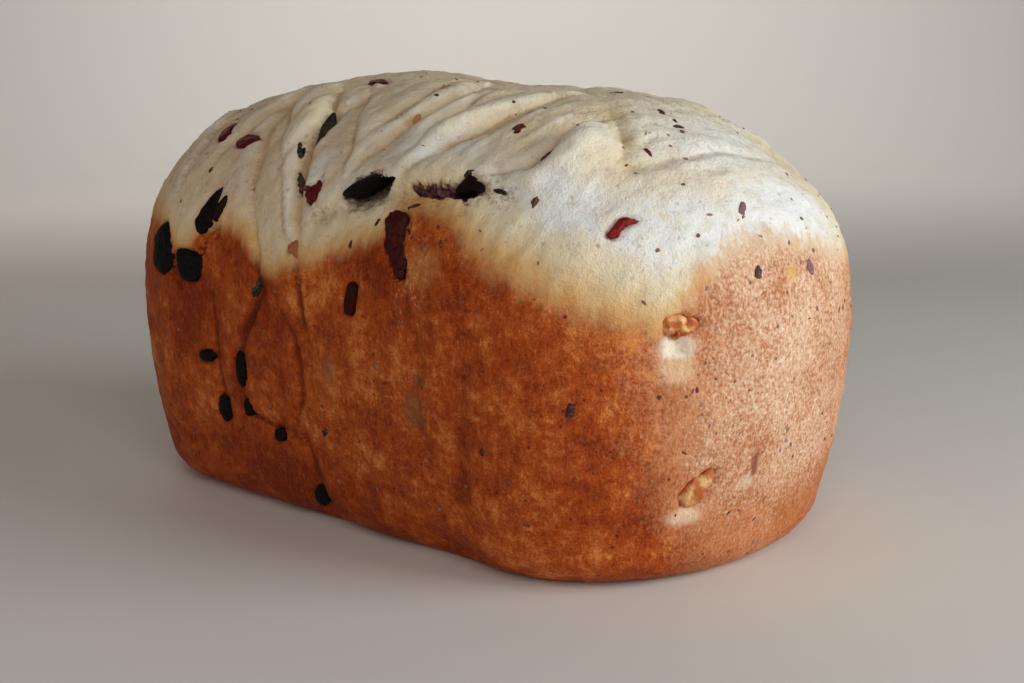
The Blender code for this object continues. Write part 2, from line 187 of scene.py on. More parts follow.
# Where brown crust gives way to pale dough: places round the loaf in mm
BROWN_LINE = (
    (-60, -57, 74), (-52, -60, 72), (-47, -62, 68), (-42, -62, 69), (-39, -60, 73), (-35, -60, 75), (-30, -60, 75),
    (-22, -61, 74), (-18, -61, 71), (-14, -61, 67), (-8, -62, 66), (-4, -62, 68), (0, -61, 69), (6, -61, 70),
    (10, -61, 72), (16, -60, 74), (21, -59, 76), (25, -59, 77), (28, -57, 80), (32, -57, 83), (38, -56, 85),
    (43, -55, 85), (48, -54, 82), (52, -54, 78), (55, -53, 76), (60, -53, 73.5), (64, -52, 71.5), (70, -51, 68.5),
    (75, -49, 66), (79, -46, 65), (83, -42, 64), (86, -40, 62.5), (88, -38, 62), (89, -36, 64), (90, -34, 67),
    (91, -30, 70.5), (92, -26, 73), (92.5, -22, 75), (93, -19, 76), (94.4, -12, 76.6), (96, -4, 76),
    (96.7, 6, 74), (96.5, 18, 70), (84, 45, 70),
    (60, 60, 74), (30, 62, 70), (0, 62, 76), (-30, 62, 71), (-60, 58, 75), (-85, 44, 69), (-98, 15, 73),
    (-98, -15, 77), (-84, -42, 74),
)

# How dark the crust baked round the loaf: place in mm, and 0 for lightly toasted up to 1
TOAST_ROUND = (
    (-60, -61, 1.0), (30, -61, 1.0), (58, -58, 1.0), (72, -52, 1.0), (80, -47, 0.95), (86, -41, 0.82),
    (90, -35, 0.50), (93, -28, 0.27), (96, -20, 0.12), (99, 0, 0.05), (97, 14, 0.12), (95, 26, 0.25),
    (80, 48, 0.5), (40, 62, 0.85), (-40, 62, 0.9), (-84, 45, 0.85), (-99, 0, 0.78), (-86, -44, 0.95),
)
# How much darker the crust baked low down at the heel, and from what height down
TOAST_AT_HEEL = 0.45
HEEL_TOASTED = (30 * MM, 2 * MM)

# Over what height the browning comes on, at places round the loaf, in mm
BROWNING_ROUND = (
    (-60, -61, 16), (0, -61, 16), (30, -60, 18), (44, -59, 24), (54, -57, 28), (66, -55, 30), (80, -47, 31),
    (88, -38, 24), (92, -26, 15), (98, 0, 13), (90, 38, 18), (60, 60, 22), (-60, 60, 20), (-99, 0, 20),
)

# Where flour left the dough whitest, partly a painted highlight where the lamps fall: middle and reach in mm, and
# how much
FLOUR_AND_HIGHLIGHT_PATCHES = (
    ((84, -34, 78), (26, 26, 13), 1.0),
    ((96, 0, 84), (14, 30, 11), 1.0),
    ((64, -46, 84), (20, 14, 13), 1.0),
    ((60, -34, 96), (10, 9, 6), 0.6),
    ((76, 0, 96), (32, 36, 15), 0.62),
    ((30, -46, 95), (16, 9, 7), 0.8),
    ((14, -54, 87), (10, 6, 5), 0.7),
    ((-4, -55, 88), (6, 8, 8), 0.6),
    ((-80, 20, 90), (26, 26, 13), 0.6),
    ((0, 52, 86), (50, 16, 12), 0.6),
)

# Broad places that baked darker or lighter than the crust round them: middle and reach in mm, and how much lighter
BAKED = (
    ((39, -60, 38), (11, 9, 16), 0.34),
    ((62, -58, 57), (13, 9, 10), -0.28),
    ((71, -55, 47), (9, 9, 10), -0.15),
    ((83, -44, 52), (10, 10, 13), 0.28),
    ((86, -41, 22), (11, 11, 15), -0.14),
    ((-49, -58, 26), (8, 9, 16), 0.15),
    ((-27, -59, 32), (4, 7, 14), -0.45),
    ((-5, -55, 10), (30, 9, 9), -0.45),
    ((-38, -62, 56), (9, 7, 8), -0.45),
    ((1, -62, 60), (8, 7, 7), 0.35),
    ((46, -62, 66), (9, 7, 8), -0.25),
    ((25, -62, 67), (7, 7, 7), -0.25),
    ((96, 14, 10), (10, 14, 10), -0.28),
    ((98, 12, 50), (7, 12, 26), -0.14),
    ((30, 61, 44), (20, 9, 16), 0.40),
    ((-30, 61, 24), (22, 9, 14), -0.35),
    ((-97, 10, 50), (8, 22, 14), 0.35),
    ((-88, -38, 26), (10, 12, 18), -0.25),
)

# Patches of another colour on or just under the crust, and a few of painted highlight and shade: middle and reach
# in mm, colour, and how much it covers
STAINS_AND_PAINTED_LIGHT = (
    ((89.9, -35.7, 56.6), (3.2, 4.4, 2.8), (250, 236, 216), 0.95),
    ((89.9, -35.7, 53.0), (3.2, 4.4, 4.2), (248, 216, 176), 0.6),
    ((88.8, -30.2, 18.2), (3.2, 4.8, 2.1), (242, 214, 180), 0.7),
    ((95.2, -16.5, 24), (2.6, 3.0, 1.6), (240, 214, 190), 0.5),
    # Painted shade of a small crack in the crust, with no crack cut in the mesh
    ((96.3, -14, 27.8), (1.2, 1.5, 3.4), (124, 56, 32), 0.8),
    ((36, -60, 38), (3.0, 4, 4.6), (96, 88, 62), 0.50),
    ((9, -60, 44), (2.4, 4, 3.6), (104, 92, 64), 0.40),
    ((39, -60, 46), (2.4, 4, 2.0), (110, 92, 62), 0.35),
    ((17, -39, 100), (3, 2, 2), (205, 150, 96), 0.6),
    ((57.5, -18, 102.5), (5, 4, 3.5), (232, 208, 158), 0.55),
    # Ochre in the knob's hollow, darker in part as painted shade
    ((67.5, -25.5, 96.8), (3, 2.6, 2.6), (190, 166, 110), 0.55),
    # The cream of a ridge, made brighter as a painted highlight where its slope faces away from the lamps
    ((-16.5, -41, 102.5), (5.5, 6, 5.5), (255, 240, 200), 0.75),
    ((-2, -52, 90.5), (3.5, 4, 4), (232, 234, 228), 0.5),
    ((28, -48, 97.5), (7, 4, 4), (230, 232, 222), 0.5),
    ((92, -30, 71), (2.2, 2.6, 2.8), (222, 150, 88), 0.5),
    ((98.5, -6, 69.5), (1.8, 2.2, 2.0), (226, 178, 104), 0.6),
    ((21, -53, 84), (3.0, 5, 1.8), (196, 186, 164), 0.9),
    ((40, -59.5, 71), (5.0, 4, 5.0), (226, 160, 96), 0.35),
)

# How squarely a patch ends, and how near its edge it begins and is full
STAIN_POWER = 2.6
STAIN_EDGE = (0.10, 0.80)

# Where the crust tore and is rough and crumbly: middle and reach in mm, and how much
TORN = (
    ((51, -50, 87), (9, 5, 5), 1.0),
    ((28, -55, 85), (5, 4, 4), 0.8),
    ((38, -54, 84), (11, 4, 3), 0.7),
    ((17, -57, 82), (10, 4, 3), 0.6),
    ((4, -58, 80), (7, 4, 4), 0.7),
    ((37, -60, 67), (7, 4, 12), 1.0),
)

# Small bits of fruit and nut in the crust: place, length and width in mm, turn from upright, and kind
BITS = (
    ((46, -36, 100), (4.2, 2.7), 18, "red"),
    ((60, -41, 95), (6.0, 2.5), -58, "maroon"),
    ((62, -49, 86), (2.9, 1.6), 11, "brown"),
    ((91, -14, 84), (4.9, 2.1), 34, "mauve"),
    ((96.5, -16, 71), (3.0, 2.3), 10, "maroon"),
    ((98.6, 2, 70), (3.7, 2.5), 0, "mauve"),
    ((70, -8, 101), (3.4, 2.0), -60, "maroon"),
    ((72, -10, 100), (2.6, 1.4), 40, "mauve"),
    ((68, -7, 102), (1.8, 1.2), 20, "maroon"),
    ((63, -6, 103), (3.2, 2.2), 40, "maroon"),
    ((72.6, -24, 95), (2.4, 1.5), -20, "red"),
    ((34, -58.6, 78.5), (2.4, 1.1), -41, "maroon"),
    ((16.5, -60, 74), (2.4, 1.3), 10, "maroon"),
    ((4, -58, 27), (3.6, 2.2), 51, "black"),
    ((75, -52.5, 43.5), (4.2, 2.3), 10, "maroon"),
    ((-11.6, -50, 93), (5.4, 2.2), 24, "black"),
    ((-14.8, -62, 60), (6.4, 2.2), 26, "black"),
    ((53, -51, 88.2), (4.4, 1.2), 96, "black"),
    ((33, -56.5, 84.5), (4.6, 1.4), 70, "maroon"),
    ((44, -49.5, 91), (2.6, 1.6), 60, "black"),
    ((37, 11, 110), (3.2, 2.0), 80, "maroon"),
    ((17, -39, 101), (3.4, 2.1), 30, "orange"),
    ((13, -26, 109), (3.0, 1.8), 60, "orange"),
    ((-1.0, -61.2, 71.6), (4.0, 4.4), 8, "nut"),
    ((-3.5, -56, 85), (3.0, 1.5), 80, "red"),
    ((1, -56, 81), (2.2, 1.6), 10, "grey"),
    ((23, -57, 79), (2.6, 1.2), 24, "maroon"),
    ((44, -59.6, 77), (2.0, 1.2), -30, "brown"),
    ((56, -60, 32), (2.4, 1.6), 15, "maroon"),
    ((-42, -53, 86), (1.8, 1.5), 0, "red"),
)
BIT_COLOURS = {
    "red": (96, 20, 22),
    "maroon": (66, 16, 22),
    "mauve": (132, 90, 98),
    "brown": (98, 50, 30),
    "black": (16, 13, 12),
    "orange": (196, 128, 78),
    "nut": (172, 100, 62),
    "grey": (132, 120, 104),
}
# How thick a bit is, and how much of it stands above the crust
BIT_THICKNESS = 0.9 * MM
BIT_PROUD = 0.22 * MM
# The lumps of a bit, each a strength and a fineness
BIT_LUMPS = ((0.30, 1.6), (0.16, 4))

# Colours of the dough, the crust and the crumb, as the eye names them, with those of the painted highlight and
# shade on them
DOUGH = (237, 219, 188)
# White flour, partly a painted highlight where the lamps fall
FLOUR_AND_HIGHLIGHT_WHITE = (246, 245, 243)
# Painted shade in the valleys of the dough
VALLEY_SHADE_WARM = (222, 188, 140)
# Painted shade in the creases of the pale dough
CREASE_SHADE_TAN = (182, 142, 90)
CREAM = (244, 224, 184)
GOLDEN = (232, 188, 128)
DARK_CRUST = (136, 46, 10)
MIDDLE_CRUST = (180, 78, 20)
PALE_CRUST = (228, 142, 76)
DARK_SPECK = (188, 114, 72)
MIDDLE_SPECK = (225, 185, 151)
PALE_SPECK = (250, 232, 212)
BURNT = (62, 22, 12)
STRAW = (226, 204, 160)
PUTTY = (196, 180, 164)
MILK = (246, 240, 228)
ROSY = (214, 186, 166)
WHEAT = (214, 198, 146)
ASHEN = (192, 190, 172)
# Painted highlight on the ridges of the dough
RIDGE_HIGHLIGHT = (252, 247, 232)
# Painted shade in the pits of the dough
PIT_SHADE_TAN = (172, 134, 98)
# Painted warm shade and reflection over the dough's left side, away from the lamps
WARM_SHADE = (226, 186, 150)
FRUIT_STAIN = (186, 132, 124)
AMBER = (200, 116, 48)
PALE_THREAD = (244, 190, 134)
PALE_FLAKE = (244, 194, 138)
SCORCHED = (104, 42, 18)
# Painted shade in the pits of the brown crust
PIT_SHADE_BROWN = (96, 36, 12)
# Painted shade in the creases of the brown crust
CREASE_SHADE_BROWN = (84, 34, 14)
LIGHT_GOLD = (228, 198, 164)
DEEP_GOLD = (218, 156, 90)
TORN_GREY = (120, 98, 92)
PALE_CRUMB = (214, 194, 164)
MAUVE_CRUMB = (150, 104, 104)
BROWN_CRUMB = (150, 124, 98)
DARK_CRUMB = (70, 34, 40)

# Faint smudges of fruit under the pale skin: reach, share of the places that have one, how far out each is full
# and where it ends as shares of the reach, how much it covers, and colour
SMUDGES = (
    (2.6 * MM, 0.45, 0.10, 0.26, 0.40, (150, 126, 134)),
    (1.6 * MM, 0.46, 0.12, 0.28, 0.30, (160, 138, 132)),
    (0.9 * MM, 0.5, 0.10, 0.30, 0.25, (168, 152, 140)),
)

# Colours of the fruit and nut
RAISIN_BLACK = (4, 3, 3)
RAISIN_BROWN = (20, 13, 12)
RAISIN_DUST = (48, 32, 26)
RAISIN_BLEACHED = (92, 76, 60)
RAISIN_RED = (52, 11, 10)
BERRY_RED = (112, 10, 12)
BERRY_BRIGHT = (140, 22, 20)
BERRY_DARK = (22, 3, 5)
BERRY_DEEP = (48, 7, 9)
NUT_BROWN = (190, 94, 36)
NUT_CREAM = (240, 190, 128)
NUT_VEIN = (126, 56, 22)
BIT_DUST = (176, 150, 132)
FLECK_RED = (104, 44, 50)
FLECK_MAUVE = (168, 128, 130)
FLECK_BROWN = (110, 70, 52)

# The outlines of the pieces that show best: points along the middle of each, to the right and up from its place,
# and half its width there, in mm
SPINES = {
    "cranberry_01": (
        (-2.8, 7.0, 3.4), (-2.5, 4.8, 3.4), (-1.9, 2.4, 3.1), (-0.6, -0.6, 2.9), (1.8, -3.8, 2.2), (3.6, -7.2, 1.2),
    ),
    "cranberry_02": ((-2.8, -2.2, 0.9), (-1.3, -0.8, 1.1), (0.0, 0.8, 0.9), (1.5, 1.3, 0.75), (3.8, 1.0, 0.35)),
    "cranberry_05": ((-0.6, -3.6, 1.2), (-0.4, -1.6, 2.4), (0.4, 1.0, 1.4), (1.6, 4.4, 0.5)),
    "raisin_01": ((-0.9, -6.4, 3.0), (-1.1, -3.3, 6.0), (-0.4, 0.5, 6.6), (0.8, 3.8, 4.6), (2.0, 7.2, 1.4)),
    "raisin_02": ((0.2, -3.9, 3.4), (0.1, -2.0, 4.9), (0.0, 0.6, 5.2), (-0.3, 2.6, 5.0), (-0.2, 3.9, 4.4)),
    "raisin_03": ((0.6, -3.6, 2.2), (0.1, -0.7, 3.2), (0.8, 2.1, 2.5), (2.2, 5.0, 1.8), (3.8, 8.2, 0.7)),
    "raisin_04": ((-1.6, -3.4, 0.9), (-0.6, -0.8, 1.5), (0.5, 1.1, 1.4), (1.2, 3.2, 0.6)),
    "raisin_06": ((-2.6, -1.8, 1.0), (-1.1, -0.4, 1.6), (0.4, 0.8, 2.1), (2.0, 0.7, 1.3), (4.6, -0.1, 0.5)),
    "raisin_05": ((-5.8, -2.4, 0.8), (-3.2, -1.3, 1.3), (0.0, 0.4, 1.4), (3.0, 1.9, 1.0), (5.2, 2.9, 0.5)),
    "raisin_13": ((0.2, -6.4, 0.9), (0.1, -3.0, 1.8), (0.0, 0.2, 1.9), (-0.2, 3.6, 0.9)),
    "raisin_14": ((-4.8, -8.4, 0.9), (-2.4, -4.0, 1.6), (0.2, 0.6, 1.7), (2.6, 5.2, 0.8)),
    "raisin_15": ((-0.9, -3.6, 1.5), (-0.3, -1.4, 1.7), (0.3, 1.4, 1.7), (0.9, 3.6, 1.5)),
    "walnut_01": (
        (-3.0, -1.4, 1.2), (-1.4, -0.5, 2.4), (0.4, -0.2, 2.7), (2.4, -0.9, 1.7), (3.8, -0.3, 1.7), (5.2, 0.1, 0.8),
    ),
    "walnut_02": ((-3.4, -3.0, 1.6), (-1.8, -1.5, 2.6), (0.2, 0.2, 2.8), (2.2, 2.2, 1.9), (4.0, 4.4, 0.6)),
}

# How each kind wrinkles: reach of the folds, how much longer they run, depth and dents in mm, growth, and how
# much of the height above the crust is kept
WRINKLED = {
    "raisin": {"reach": 1.5, "stretch": 0.45, "depth": 0.32, "dent": 0.4, "grown": 1.07, "press": 0.55},
    "cranberry": {"reach": 1.3, "stretch": 0.6, "depth": 0.34, "dent": 0.5, "grown": 1.05, "press": 0.6},
    "walnut": {"reach": 2.6, "stretch": 0.7, "depth": 0.42, "dent": 0.45, "grown": 1.04, "press": 0.9},
}
# How dark each cranberry is, how far a raisin is bleached, and for a negative value how red it is
SHADES = {
    "cranberry_01": 0.8, "cranberry_02": 0.0, "cranberry_03": 0.6, "cranberry_04": 0.5, "cranberry_06": 0.7,
    "raisin_04": -0.5, "raisin_06": -0.15, "raisin_13": 0.7, "raisin_14": 0.6, "raisin_15": -1.0,
}
# Pieces that lie broader in the crust than their own solids
BROADER = {"cranberry_03": 1.35, "cranberry_04": 1.4, "cranberry_05": 1.15, "cranberry_06": 1.25}
# How far a piece stands out of the crust beyond its own solid, in mm
LIFTED = {"raisin_13": 1.2, "raisin_14": 0.9, "raisin_01": 0.3, "raisin_02": 0.3}

# How far the skin is pressed in at a piece, how far beyond the piece, and over what distance it recovers, in mm
BED = (1.0, 0.15, 0.9)
BEDS = {"fine_walnut_01": (1.5, 0.2, 0.9), "fine_walnut_02": (1.3, 0.3, 1.0)}
# How far from a piece the skin is looked at, and how far the piece stains it
BED_REACH = 3 * MM
HALO_REACH = 1.4 * MM

# How flat two faces of a CAD mesh lie where they are joined, and how finely its copy is divided
FLAT = math.radians(60)
FINE, COARSE = 4, 3

# A long wrinkled piece: how blunt its ends are, and over what distance its middle line is smoothed
SPINE_BLUNTNESS = 8
SPINE_STEP = 0.3 * MM
# How much of its wrinkles a raisin with a spine keeps, and the step in seed from piece to piece
SPINE_CALM = 0.45
PIECE_SEED = 2.7

# Where the crust carries flecks: pressed in by no more than this in mm, and above this height
SPECKLED_SKIN = 0.05
SPECKLED_ABOVE = 4 * MM

# How many rounds of smoothing a valley and a pit are measured against, and the heights that they come in over
VALLEY_ROUNDS = 60
PIT_ROUNDS = 8
ABOVE_HEEL = (6 * MM, 18 * MM)

# The skin's finer relief: how the ripples lean from straight across, and the height and reach of each kind
FOLD_LEAN = math.radians(17)
RELIEF_SIZES = {
    "Ripple Height": 2.6 * MM,
    "Ripple Reach": 9 * MM,
    "Lump Height": 1.4 * MM,
    "Lump Reach": 8 * MM,
    "Skin Height": 0.6 * MM,
    "Skin Reach": 2.2 * MM,
    "Pore Depth": 0.25 * MM,
    "Pore Reach": 2.2 * MM,
    "Crumb Height": 1.2 * MM,
    "Crumb Reach": 1.2 * MM,
}
# Flakes of fruit skin strewn over the crust
FLECK_SIZES = {"Flake Size": 0.44 * MM, "Per Square Metre": 6800.0, "Seed": 5}

# Lamps: name, place, length and width in metres, watts, colour, and the place that it is aimed at
LOAF_MIDDLE = (0, 0, 0.05)
LAMPS = (
    ("key", (0.65, 0.24, 0.24), (0.45, 0.45), 3.5, (0.94, 0.995, 1.0), LOAF_MIDDLE),
    ("front", (0.48, -0.42, 0.40), (0.45, 0.45), 1.5, (1.0, 0.98, 0.96), LOAF_MIDDLE),
    ("left_fill", (-0.24, -0.68, 0.16), (0.45, 0.45), 0.5, (1.0, 0.86, 0.70), LOAF_MIDDLE),
    ("far_fill", (-0.62, 0.20, 0.40), (0.45, 0.45), 0.36, (1.0, 0.87, 0.73), LOAF_MIDDLE),
    ("backdrop", (-0.45, 0.50, 0.75), (0.9, 0.5), 5.5, (1.0, 0.98, 0.95), (-1.06, 1.17, 0.33)),
)
ROOM_COLOUR = (1.0, 0.93, 0.84, 1)
ROOM_STRENGTH = 0.05

# The floor's colour, its reach to the sides, and its section: flat from front to back, a round sweep, and a wall
FLOOR_COLOUR = (226, 222, 216)
FLOOR_REACH = 2.2
FLOOR_FRONT, FLOOR_BACK, SWEEP_RADIUS, WALL_TOP = -1.2, 0.9, 0.5, 1.8
FLOOR_TURN = math.radians(42)

# The camera, worked out from the loaf's outline in the photograph
CAMERA_PLACE = (0.2679, -0.2874, 0.1232)
CAMERA_AIM = (0.0108, 0.0013, 0.0409)
CAMERA_LENS = 52.73
SENSOR = 36.0


def mixed(low, high, share):
    """A value between two, by a share from 0 to 1."""
    return low + (high - low) * share


def swing(points, reach, seed):
    """Smooth noise at each point, with swells of about the given reach."""
    shift = Vector((seed, 0, 0))
    return np.array([noise.noise(Vector(p) / reach + shift) for p in points])


def smooth_step(value, low, high):
    """0 up to the low value, 1 from the high one on, and smooth in between."""
    share = np.clip((value - low) / (high - low), 0, 1)
    return share * share * (3 - 2 * share)


def column_places():
    """The share of the way round at which each column stands."""
    share = np.linspace(0, 1, 4096)
    swell = CROWDING / (2 * np.pi) * np.sin(2 * np.pi * (share - CROWDED_AT))
    passed = share + swell
    passed = (passed - passed[0]) / (passed[-1] - passed[0])
    return np.interp(np.linspace(0, 1, COLUMNS, endpoint=False), passed, share)


def outline(half_x, half_y, corner_x, corner_y, places):
    """The plan at one height: straight sides and elliptical corners."""
    corner_y = min(corner_y, half_y)
    turn = np.linspace(0, 2 * np.pi, OUTLINE_SAMPLES + 1)
    x = np.sign(np.cos(turn)) * (half_x - corner_x) + corner_x * np.cos(turn)
    y = np.sign(np.sin(turn)) * (half_y - corner_y) + corner_y * np.sin(turn)
    y[0] = y[-1] = 0
    x[0] = x[-1] = half_x
    along = np.concatenate([[0], np.cumsum(np.hypot(np.diff(x), np.diff(y)))])
    at = places * along[-1]
    return np.interp(at, along, x), np.interp(at, along, y)


def block_ring(z, places):
    """The points round the block at one height: drafted sides above a rounded heel."""
    rise = z / SHOULDER_HEIGHT
    draft = (1 - rise) ** DRAFT_POWER
    heel = 0.0
    if z < HEEL_RADIUS:
        heel = HEEL_RADIUS - math.sqrt(HEEL_RADIUS**2 - (HEEL_RADIUS - z) ** 2)
    corner_x, corner_y = (mixed(low, high, rise) for low, high in zip(CORNER_AT_BASE, CORNER_AT_SHOULDER))
    half_x = HALF_LENGTH - END_DRAFT * draft - heel
    half_y = HALF_WIDTH - SIDE_DRAFT * draft - heel
    x, y = outline(half_x, half_y, corner_x, corner_y, places)
    return np.column_stack([x, y, np.full(len(x), z)])


def dome_ring(share, places):
    """The points round the dome at a share of its height."""
    closing = 1 - share**DOME_POWER
    x, y = outline(HALF_LENGTH, HALF_WIDTH, *CORNER_AT_SHOULDER, places)
    z = np.full(len(x), SHOULDER_HEIGHT + DOME_HEIGHT * share)
    return np.column_stack([x * closing ** (1 / DOME_END_POWER), y * closing ** (1 / DOME_SIDE_POWER), z])


def smooth_points(places):
    """All points of the loaf before its folds: the rings from the base up, then the two poles."""
    base = block_ring(0, places)
    rings = [base * [k / (BASE_RINGS + 1), k / (BASE_RINGS + 1), 1] for k in range(1, BASE_RINGS + 1)]
    turns = [math.pi / 2 * k / HEEL_RINGS for k in range(HEEL_RINGS)]
    rings += [block_ring(HEEL_RADIUS * (1 - math.cos(turn)), places) for turn in turns]
    side = SHOULDER_HEIGHT - HEEL_RADIUS
    rings += [block_ring(HEEL_RADIUS + side * k / SIDE_RINGS, places) for k in range(SIDE_RINGS)]
    rings += [dome_ring(math.sin(math.pi / 2 * k / DOME_RINGS), places) for k in range(DOME_RINGS)]
    poles = [[0, 0, 0], [0, 0, SHOULDER_HEIGHT + DOME_HEIGHT]]
    return np.concatenate([*rings, poles])


def ring_faces(ring_count):
    """Four-sided faces between the rings, and triangles round the two poles."""
    faces = []
    bottom, crown = ring_count * COLUMNS, ring_count * COLUMNS + 1
    last = (ring_count - 1) * COLUMNS
    for column in range(COLUMNS):
        beside = (column + 1) % COLUMNS
        faces.append((bottom, beside, column))
        faces.append((last + column, last + beside, crown))
        for ring in range(ring_count - 1):
            low, high = ring * COLUMNS, (ring + 1) * COLUMNS
            faces.append((low + column, low + beside, high + beside, high + column))
    return faces


def normals_of(mesh):
    """The normal at each point of a mesh, one row each."""
    found = np.zeros(len(mesh.vertices) * 3, np.float32)
    mesh.vertex_normals.foreach_get("vector", found)
    return found.reshape(-1, 3).astype(float)


def points_of(mesh):
    """The points of a mesh, one row each."""
    found = np.zeros(len(mesh.vertices) * 3, np.float32)
    mesh.vertices.foreach_get("co", found)
    return found.reshape(-1, 3).astype(float)


def move_to(mesh, points):
    """Put the points of a mesh in new places."""
    mesh.vertices.foreach_set("co", points.astype(np.float32).ravel())
    mesh.update()


def fold_shift(points, normals, line, half_width, depth, lip):
    """How far a fold moves each point along its normal, and how deep in its groove the point lies."""
    line = np.array(line, float) * MM
    reach_of = FOLD_SPREAD * half_width * MM
    low, high = line.min(0) - reach_of, line.max(0) + reach_of
    near = np.flatnonzero(((points > low) & (points < high)).all(1))
    shift = np.zeros(len(points))
    groove_at = np.zeros(len(points))
    if not len(near):
        return shift, groove_at
    here, facing_out = points[near], normals[near]
    spans = np.diff(line, axis=0)
    lengths = np.linalg.norm(spans, axis=1)
    before = np.concatenate([[0], np.cumsum(lengths)[:-1]])
    nearest = np.full(len(near), np.inf)
    aside = np.zeros(len(near))
    along = np.zeros(len(near))
    for start, span, length, passed in zip(line, spans, lengths, before):
        part = np.clip((here - start) @ span / length**2, 0, 1)
        offset = here - (start + part[:, None] * span)
        distance = np.linalg.norm(offset, axis=1)
        right = np.cross(span / length, facing_out)
        closer = distance < nearest
        nearest = np.where(closer, distance, nearest)
        aside = np.where(closer, np.sign((offset * right).sum(1)), aside)
        along = np.where(closer, (passed + part * length) / lengths.sum(), along)
    reach = nearest / (half_width * MM)
    fade = np.sin(np.pi * np.clip(along, 0.04, 0.96)) ** 0.5
    core = np.exp(-((reach / CREASE_CORE) ** 2))
    groove = np.exp(-(reach**2))
    side = np.clip(aside * np.sign(lip), 0, 1) * reach / LIP_AT
    raised = abs(lip) * side * np.exp(1 - side)
    shift[near] = (-depth * (0.75 * groove + 0.35 * core) + raised) * fade * MM
    groove_at[near] = (0.4 * groove + 0.6 * core) * fade * min(depth / 2, 1)
    return shift, groove_at


def wrinkle_lines(count, first_x, last_x, side, seed):
    """Short slanting folds down one side of the dome, spaced evenly and then shaken."""
    shaken = np.random.default_rng(seed)
    for step in range(count):
        x = first_x + (last_x - first_x) * (step + shaken.uniform(-0.3, 0.3)) / max(count - 1, 1)
        lean = shaken.uniform(-0.45, -0.15)
        tops, feet = shaken.uniform(10, 24), shaken.uniform(46, 56)
        line = []
        for y in np.linspace(tops, feet, 4):
            drop = (y / (HALF_WIDTH / MM)) ** DOME_SIDE_POWER
            z = SHOULDER_HEIGHT / MM + DOME_HEIGHT / MM * max(1 - drop, 0.02) ** (1 / DOME_POWER)
            line.append((x + lean * y + shaken.uniform(-1.5, 1.5), side * y, z))
        yield line, WRINKLE_WIDTH * shaken.uniform(0.8, 1.3), WRINKLE_DEPTH * shaken.uniform(0.5, 1.2)


def relief(points, normals):
    """The shift of each point along its normal from the folds and the unevenness, and how creased it is."""
    shift = np.zeros(len(points))
    creased = np.zeros(len(points))
    lines = list(FOLDS.values())
    for family in WRINKLES:
        lines += [(line, width, depth, depth * 0.8) for line, width, depth in wrinkle_lines(*family)]
    for fold in lines:
        moved, groove = fold_shift(points, normals, *fold)
        shift += moved
        creased = np.maximum(creased, groove)
    for middle, reach, height in SWELLINGS.values():
        away = (points / MM - middle) / reach
        shift += height * MM * np.exp(-(away**2).sum(1))
    high = np.clip((points[:, 2] - SHOULDER_HEIGHT) / (0.3 * DOME_HEIGHT), 0, 1)
    shift += swing(points, UNEVEN_REACH, UNEVEN_SEED) * mixed(UNEVEN_SIDE, UNEVEN_DOME, high) * MM
    return shift, creased


class Wire:
    """A socket that takes part in arithmetic: each operator adds the node that works it out."""

    def __init__(self, web, socket):
        self.web = web
        self.socket = socket

    def maths(self, operation, *terms, **settings):
        inputs = dict(enumerate(terms))
        return self.web.node("ShaderNodeMath", {"operation": operation, **settings}, inputs)[0]

    def __add__(self, other):
        return self.maths("ADD", self, other)

    __radd__ = __add__

    def __mul__(self, other):
        return self.maths("MULTIPLY", self, other)

    def __sub__(self, other):
        return self.maths("SUBTRACT", self, other)

    def __rsub__(self, other):
        return self.maths("SUBTRACT", other, self)

    def __rtruediv__(self, other):
        return self.maths("DIVIDE", other, self)

    def __abs__(self):
        return self.maths("ABSOLUTE", self)

    def held(self):
        return self.maths("ADD", self, 0.0, use_clamp=True)

    def between(self, low, high):
        """0 up to low and 1 from high on, or the other way round, and smooth in between."""
        settings = {"interpolation_type": "SMOOTHSTEP"}
        return self.web.node("ShaderNodeMapRange", settings, {0: self, 1: low, 2: high})[0]


class Web:
    """A node tree: one method adds any node, and returns its outputs as wires."""

    def __init__(self, tree):
        self.tree = tree

    def node(self, kind, settings=None, inputs=None):
        made = self.tree.nodes.new(kind)
        for name, value in (settings or {}).items():
            setattr(made, name, value)
        for key, value in (inputs or {}).items():
            self.feed(made.inputs[key], value)
        return [Wire(self, socket) for socket in made.outputs]

    def feed(self, socket, value):
        if isinstance(value, Wire):
            self.tree.links.new(value.socket, socket)
        else:
            socket.default_value = value

    def noise(self, place, size, detail=2.0, roughness=0.5, lean=0.0):
        """Noise from 0 to 1 with swells of about the given size in metres."""
        inputs = {"Vector": place, "Scale": 1 / size, "Detail": detail, "Roughness": roughness, "Distortion": lean}
        return self.node("ShaderNodeTexNoise", None, inputs)[0]

    def cells(self, place, size):
        """The distance to the nearest of scattered points, about the given size apart, in shares of it."""
        return self.node("ShaderNodeTexVoronoi", {"feature": "F1"}, {"Vector": place, "Scale": 1 / size})[0]

    def stretched(self, place, factors):
        return self.node("ShaderNodeVectorMath", {"operation": "MULTIPLY"}, {0: place, 1: factors})[0]

    def scaled(self, vector, factor):
        return self.node("ShaderNodeVectorMath", {"operation": "SCALE"}, {0: vector, "Scale": factor})[0]


